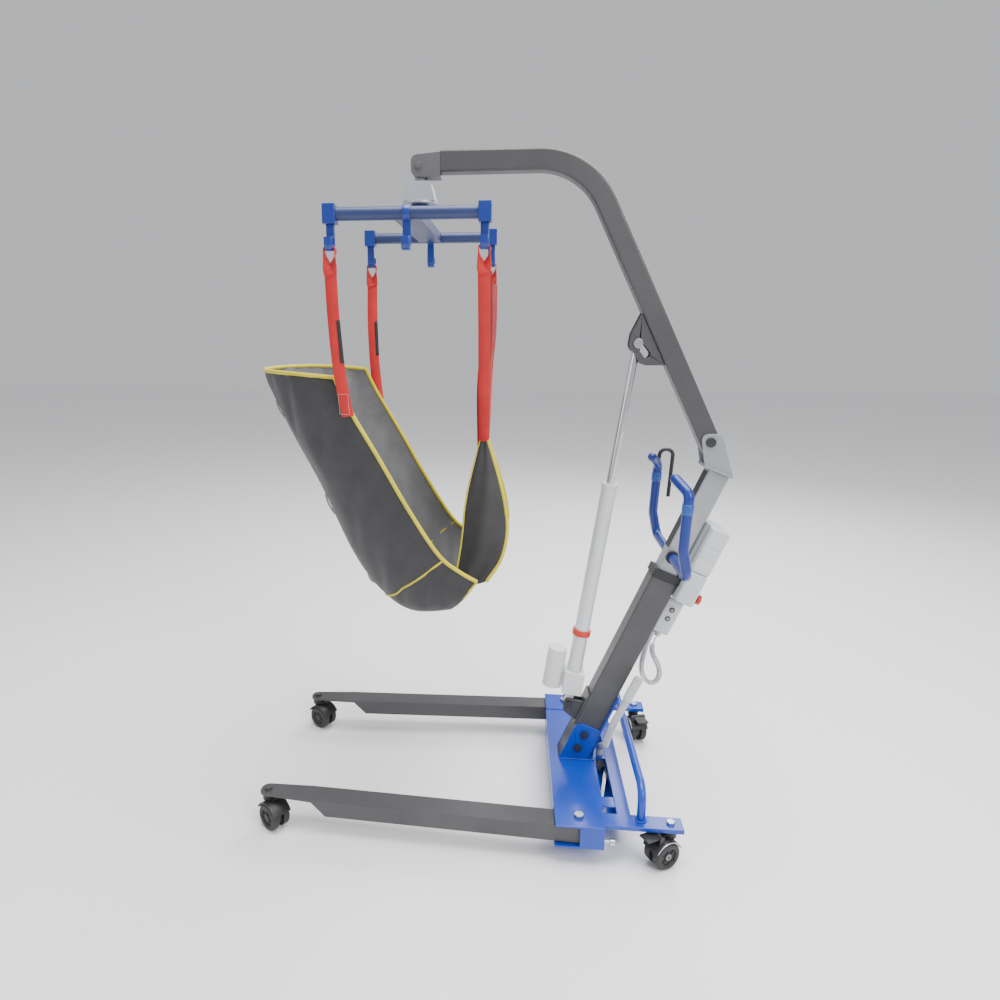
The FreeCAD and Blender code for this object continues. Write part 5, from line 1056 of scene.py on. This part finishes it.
# Painted shade: the inner layer of each doubled leg strap is the same red webbing, darkened to stand in for
# the shade between the layers.
shaded_red_webbing = cloth_finish("shaded_red_webbing", (0.26, 0.005, 0.005), (0.20, 0.004, 0.004), 0.60, 0.1,
                            thread=webbing_thread, bump=0.6)
black_webbing = cloth_finish("black_webbing", (0.016, 0.016, 0.017), (0.012, 0.012, 0.012), 0.6, 0.1,
                             thread=webbing_thread)
web_width, web_thickness = 0.030, 0.0026


def webbing(name, rows, count, material, thickness=web_thickness):
    """A flat strap: each row is a place on its middle line, the direction of its width, and its width."""
    line = [Vector(p) for p in smooth_line([r[0] for r in rows], count)]
    wide = [Vector(p) for p in smooth_line([Vector(r[1]).normalized() * r[2] for r in rows], count)]
    section = ((-0.5, -0.25), (-0.48, -0.5), (0.48, -0.5), (0.5, -0.25),
               (0.5, 0.25), (0.48, 0.5), (-0.48, 0.5), (-0.5, 0.25))
    points, lengths = [], [0]
    for i, (at, across) in enumerate(zip(line, wide)):
        tangent = (line[min(i + 1, count)] - line[max(i - 1, 0)]).normalized()
        normal = across.cross(tangent).normalized() * thickness
        across = tangent.cross(normal).normalized() * across.length
        points += [at + across * a + normal * b for a, b in section]
        if i:
            lengths.append(lengths[-1] + (at - line[i - 1]).length)
    size_of = len(section)
    faces = band_faces(count + 1, size_of)
    faces += [tuple(range(size_of))[::-1], tuple(count * size_of + k for k in range(size_of))]
    strap = outward(mesh_object(name, points, faces, material))
    layer = strap.data.uv_layers.new(name="cloth")
    for loop in strap.data.loops:
        row, corner = divmod(loop.vertex_index, size_of)
        layer.data[loop.index].uv = (section[corner][0] * web_width, lengths[row])
    return strap


thread_pale = finish_material("thread_pale", (0.62, 0.58, 0.54), (0.5, 0.47, 0.44), 0.7, round_edges=0.0001)


def hook_loop(name, x, y, low, material):
    """The sewn eye of a strap, turned a quarter so that it lies in the hook."""
    foot_top = hook_level - 0.008 + 0.0098
    rows = [
        (Vector((x, y - 0.002, low)), (1, 0, 0), 0.028),
        (Vector((x - 0.006, y, low + 0.018)), (0.8, 0.4, 0), 0.024),
        (Vector((x - 0.0125, y, foot_top - 0.016)), (0.1, 1, 0), 0.016),
        (Vector((x - 0.0118, y, foot_top - 0.002)), (0, 1, 0), 0.015),
        (Vector((x, y, foot_top + 0.0022)), (0, 1, 0), 0.015),
        (Vector((x + 0.0118, y, foot_top - 0.002)), (0, 1, 0), 0.015),
        (Vector((x + 0.0125, y, foot_top - 0.016)), (-0.1, 1, 0), 0.016),
        (Vector((x + 0.006, y, low + 0.018)), (-0.8, 0.4, 0), 0.024),
        (Vector((x, y + 0.002, low)), (-1, 0, 0), 0.028),
    ]
    return webbing(name, rows, 64, material)


hook_half = 0.254
shoulder_eye_drop, leg_eye_drop = 0.062, 0.060
stitch_spacing, stitch_size = 0.0042, (0.0030, 0.0009, 0.0009)
front_hook_x, rear_hook_x = hook_x - 0.178, hook_x + 0.178
for side, sign in (("left", -1), ("right", 1)):
    y = sign * hook_half
    low = hook_level - shoulder_eye_drop
    loop = hook_loop(f"shoulder_loop_{side}", front_hook_x, y, low, red_webbing)
    rows = [
        (Vector((front_hook_x, y, low + 0.006)), (1, 0, 0), 0.029),
        (Vector((front_hook_x + 0.001, y - sign * 0.012, low - 0.10)), (1, 0.10 * sign, 0), web_width),
        (Vector((front_hook_x + 0.006, y - sign * 0.024, low - 0.20)), (1, -0.08 * sign, 0), web_width),
        (Vector((front_hook_x + 0.013, sign * 0.2205, spreader_z - 0.405)), (1, 0, 0), web_width),
        (Vector((front_hook_x + 0.022, sign * 0.2105, spreader_z - 0.468)), (1, 0, 0.1), web_width),
    ]
    shoulder = webbing(f"shoulder_strap_{side}", rows, 60, red_webbing)
    hang_from_spreader(loop, "red_webbing")
    hang_from_spreader(shoulder, "red_webbing", "shoulder_straps")
    marker_rows = [(row[0] + Vector((0.011, -0.0016, 0)), row[1], 0.009) for row in rows[1:3]]
    marker = webbing(f"strap_marker_{side}", marker_rows, 16, black_webbing, 0.0034)
    hang_from_spreader(marker, "red_webbing")
    tab = [Vector((front_hook_x + 0.013 + dx, sign * (0.2235 - 0.16 * (0.405 - dz)), spreader_z - dz))
           for dx, dz in ((-0.011, 0.412), (0.013, 0.412), (0.018, 0.460), (-0.006, 0.460), (-0.011, 0.412))]
    stitches = copies_along(f"shoulder_stitches_{side}", bead_tree, [tab], stitch_spacing, stitch_size,
                            thread_pale)
    hang_from_spreader(stitches, "red_webbing")
    low_rear = hook_level - leg_eye_drop
    rear_loop = hook_loop(f"leg_loop_{side}", rear_hook_x, y, low_rear, red_webbing)
    hang_from_spreader(rear_loop, "red_webbing")
    # The inner layer takes the darkened red, painted shade.
    for label, shift, finish in (("outer", 0.0, red_webbing), ("inner", 0.0042, shaded_red_webbing)):
        inward = sign * shift
        end_width = web_width * 0.94
        rows = [
            (Vector((rear_hook_x + shift, y - inward, low_rear + 0.006)), (1, 0, 0), 0.029),
            (Vector((rear_hook_x + shift, y * 0.72 - inward, low_rear - 0.14)), (1, 0.1 * sign, 0),
             web_width),
            (Vector((rear_hook_x - 0.002 - shift, y * 0.36 - inward, low_rear - 0.28)), (1, -0.06 * sign, 0),
             web_width),
            (Vector((hook_x + 0.174 - shift, sign * (0.0135 - shift), spreader_z - 0.548)), (1, 0, 0),
             end_width),
            (Vector((hook_x + 0.172, sign * (0.0160 - shift), spreader_z - 0.600)), (1, 0, 0), end_width),
        ]
        strap = webbing(f"leg_strap_{side}_{label}", rows, 60, finish)
        hang_from_spreader(strap, "red_webbing", "leg_straps")
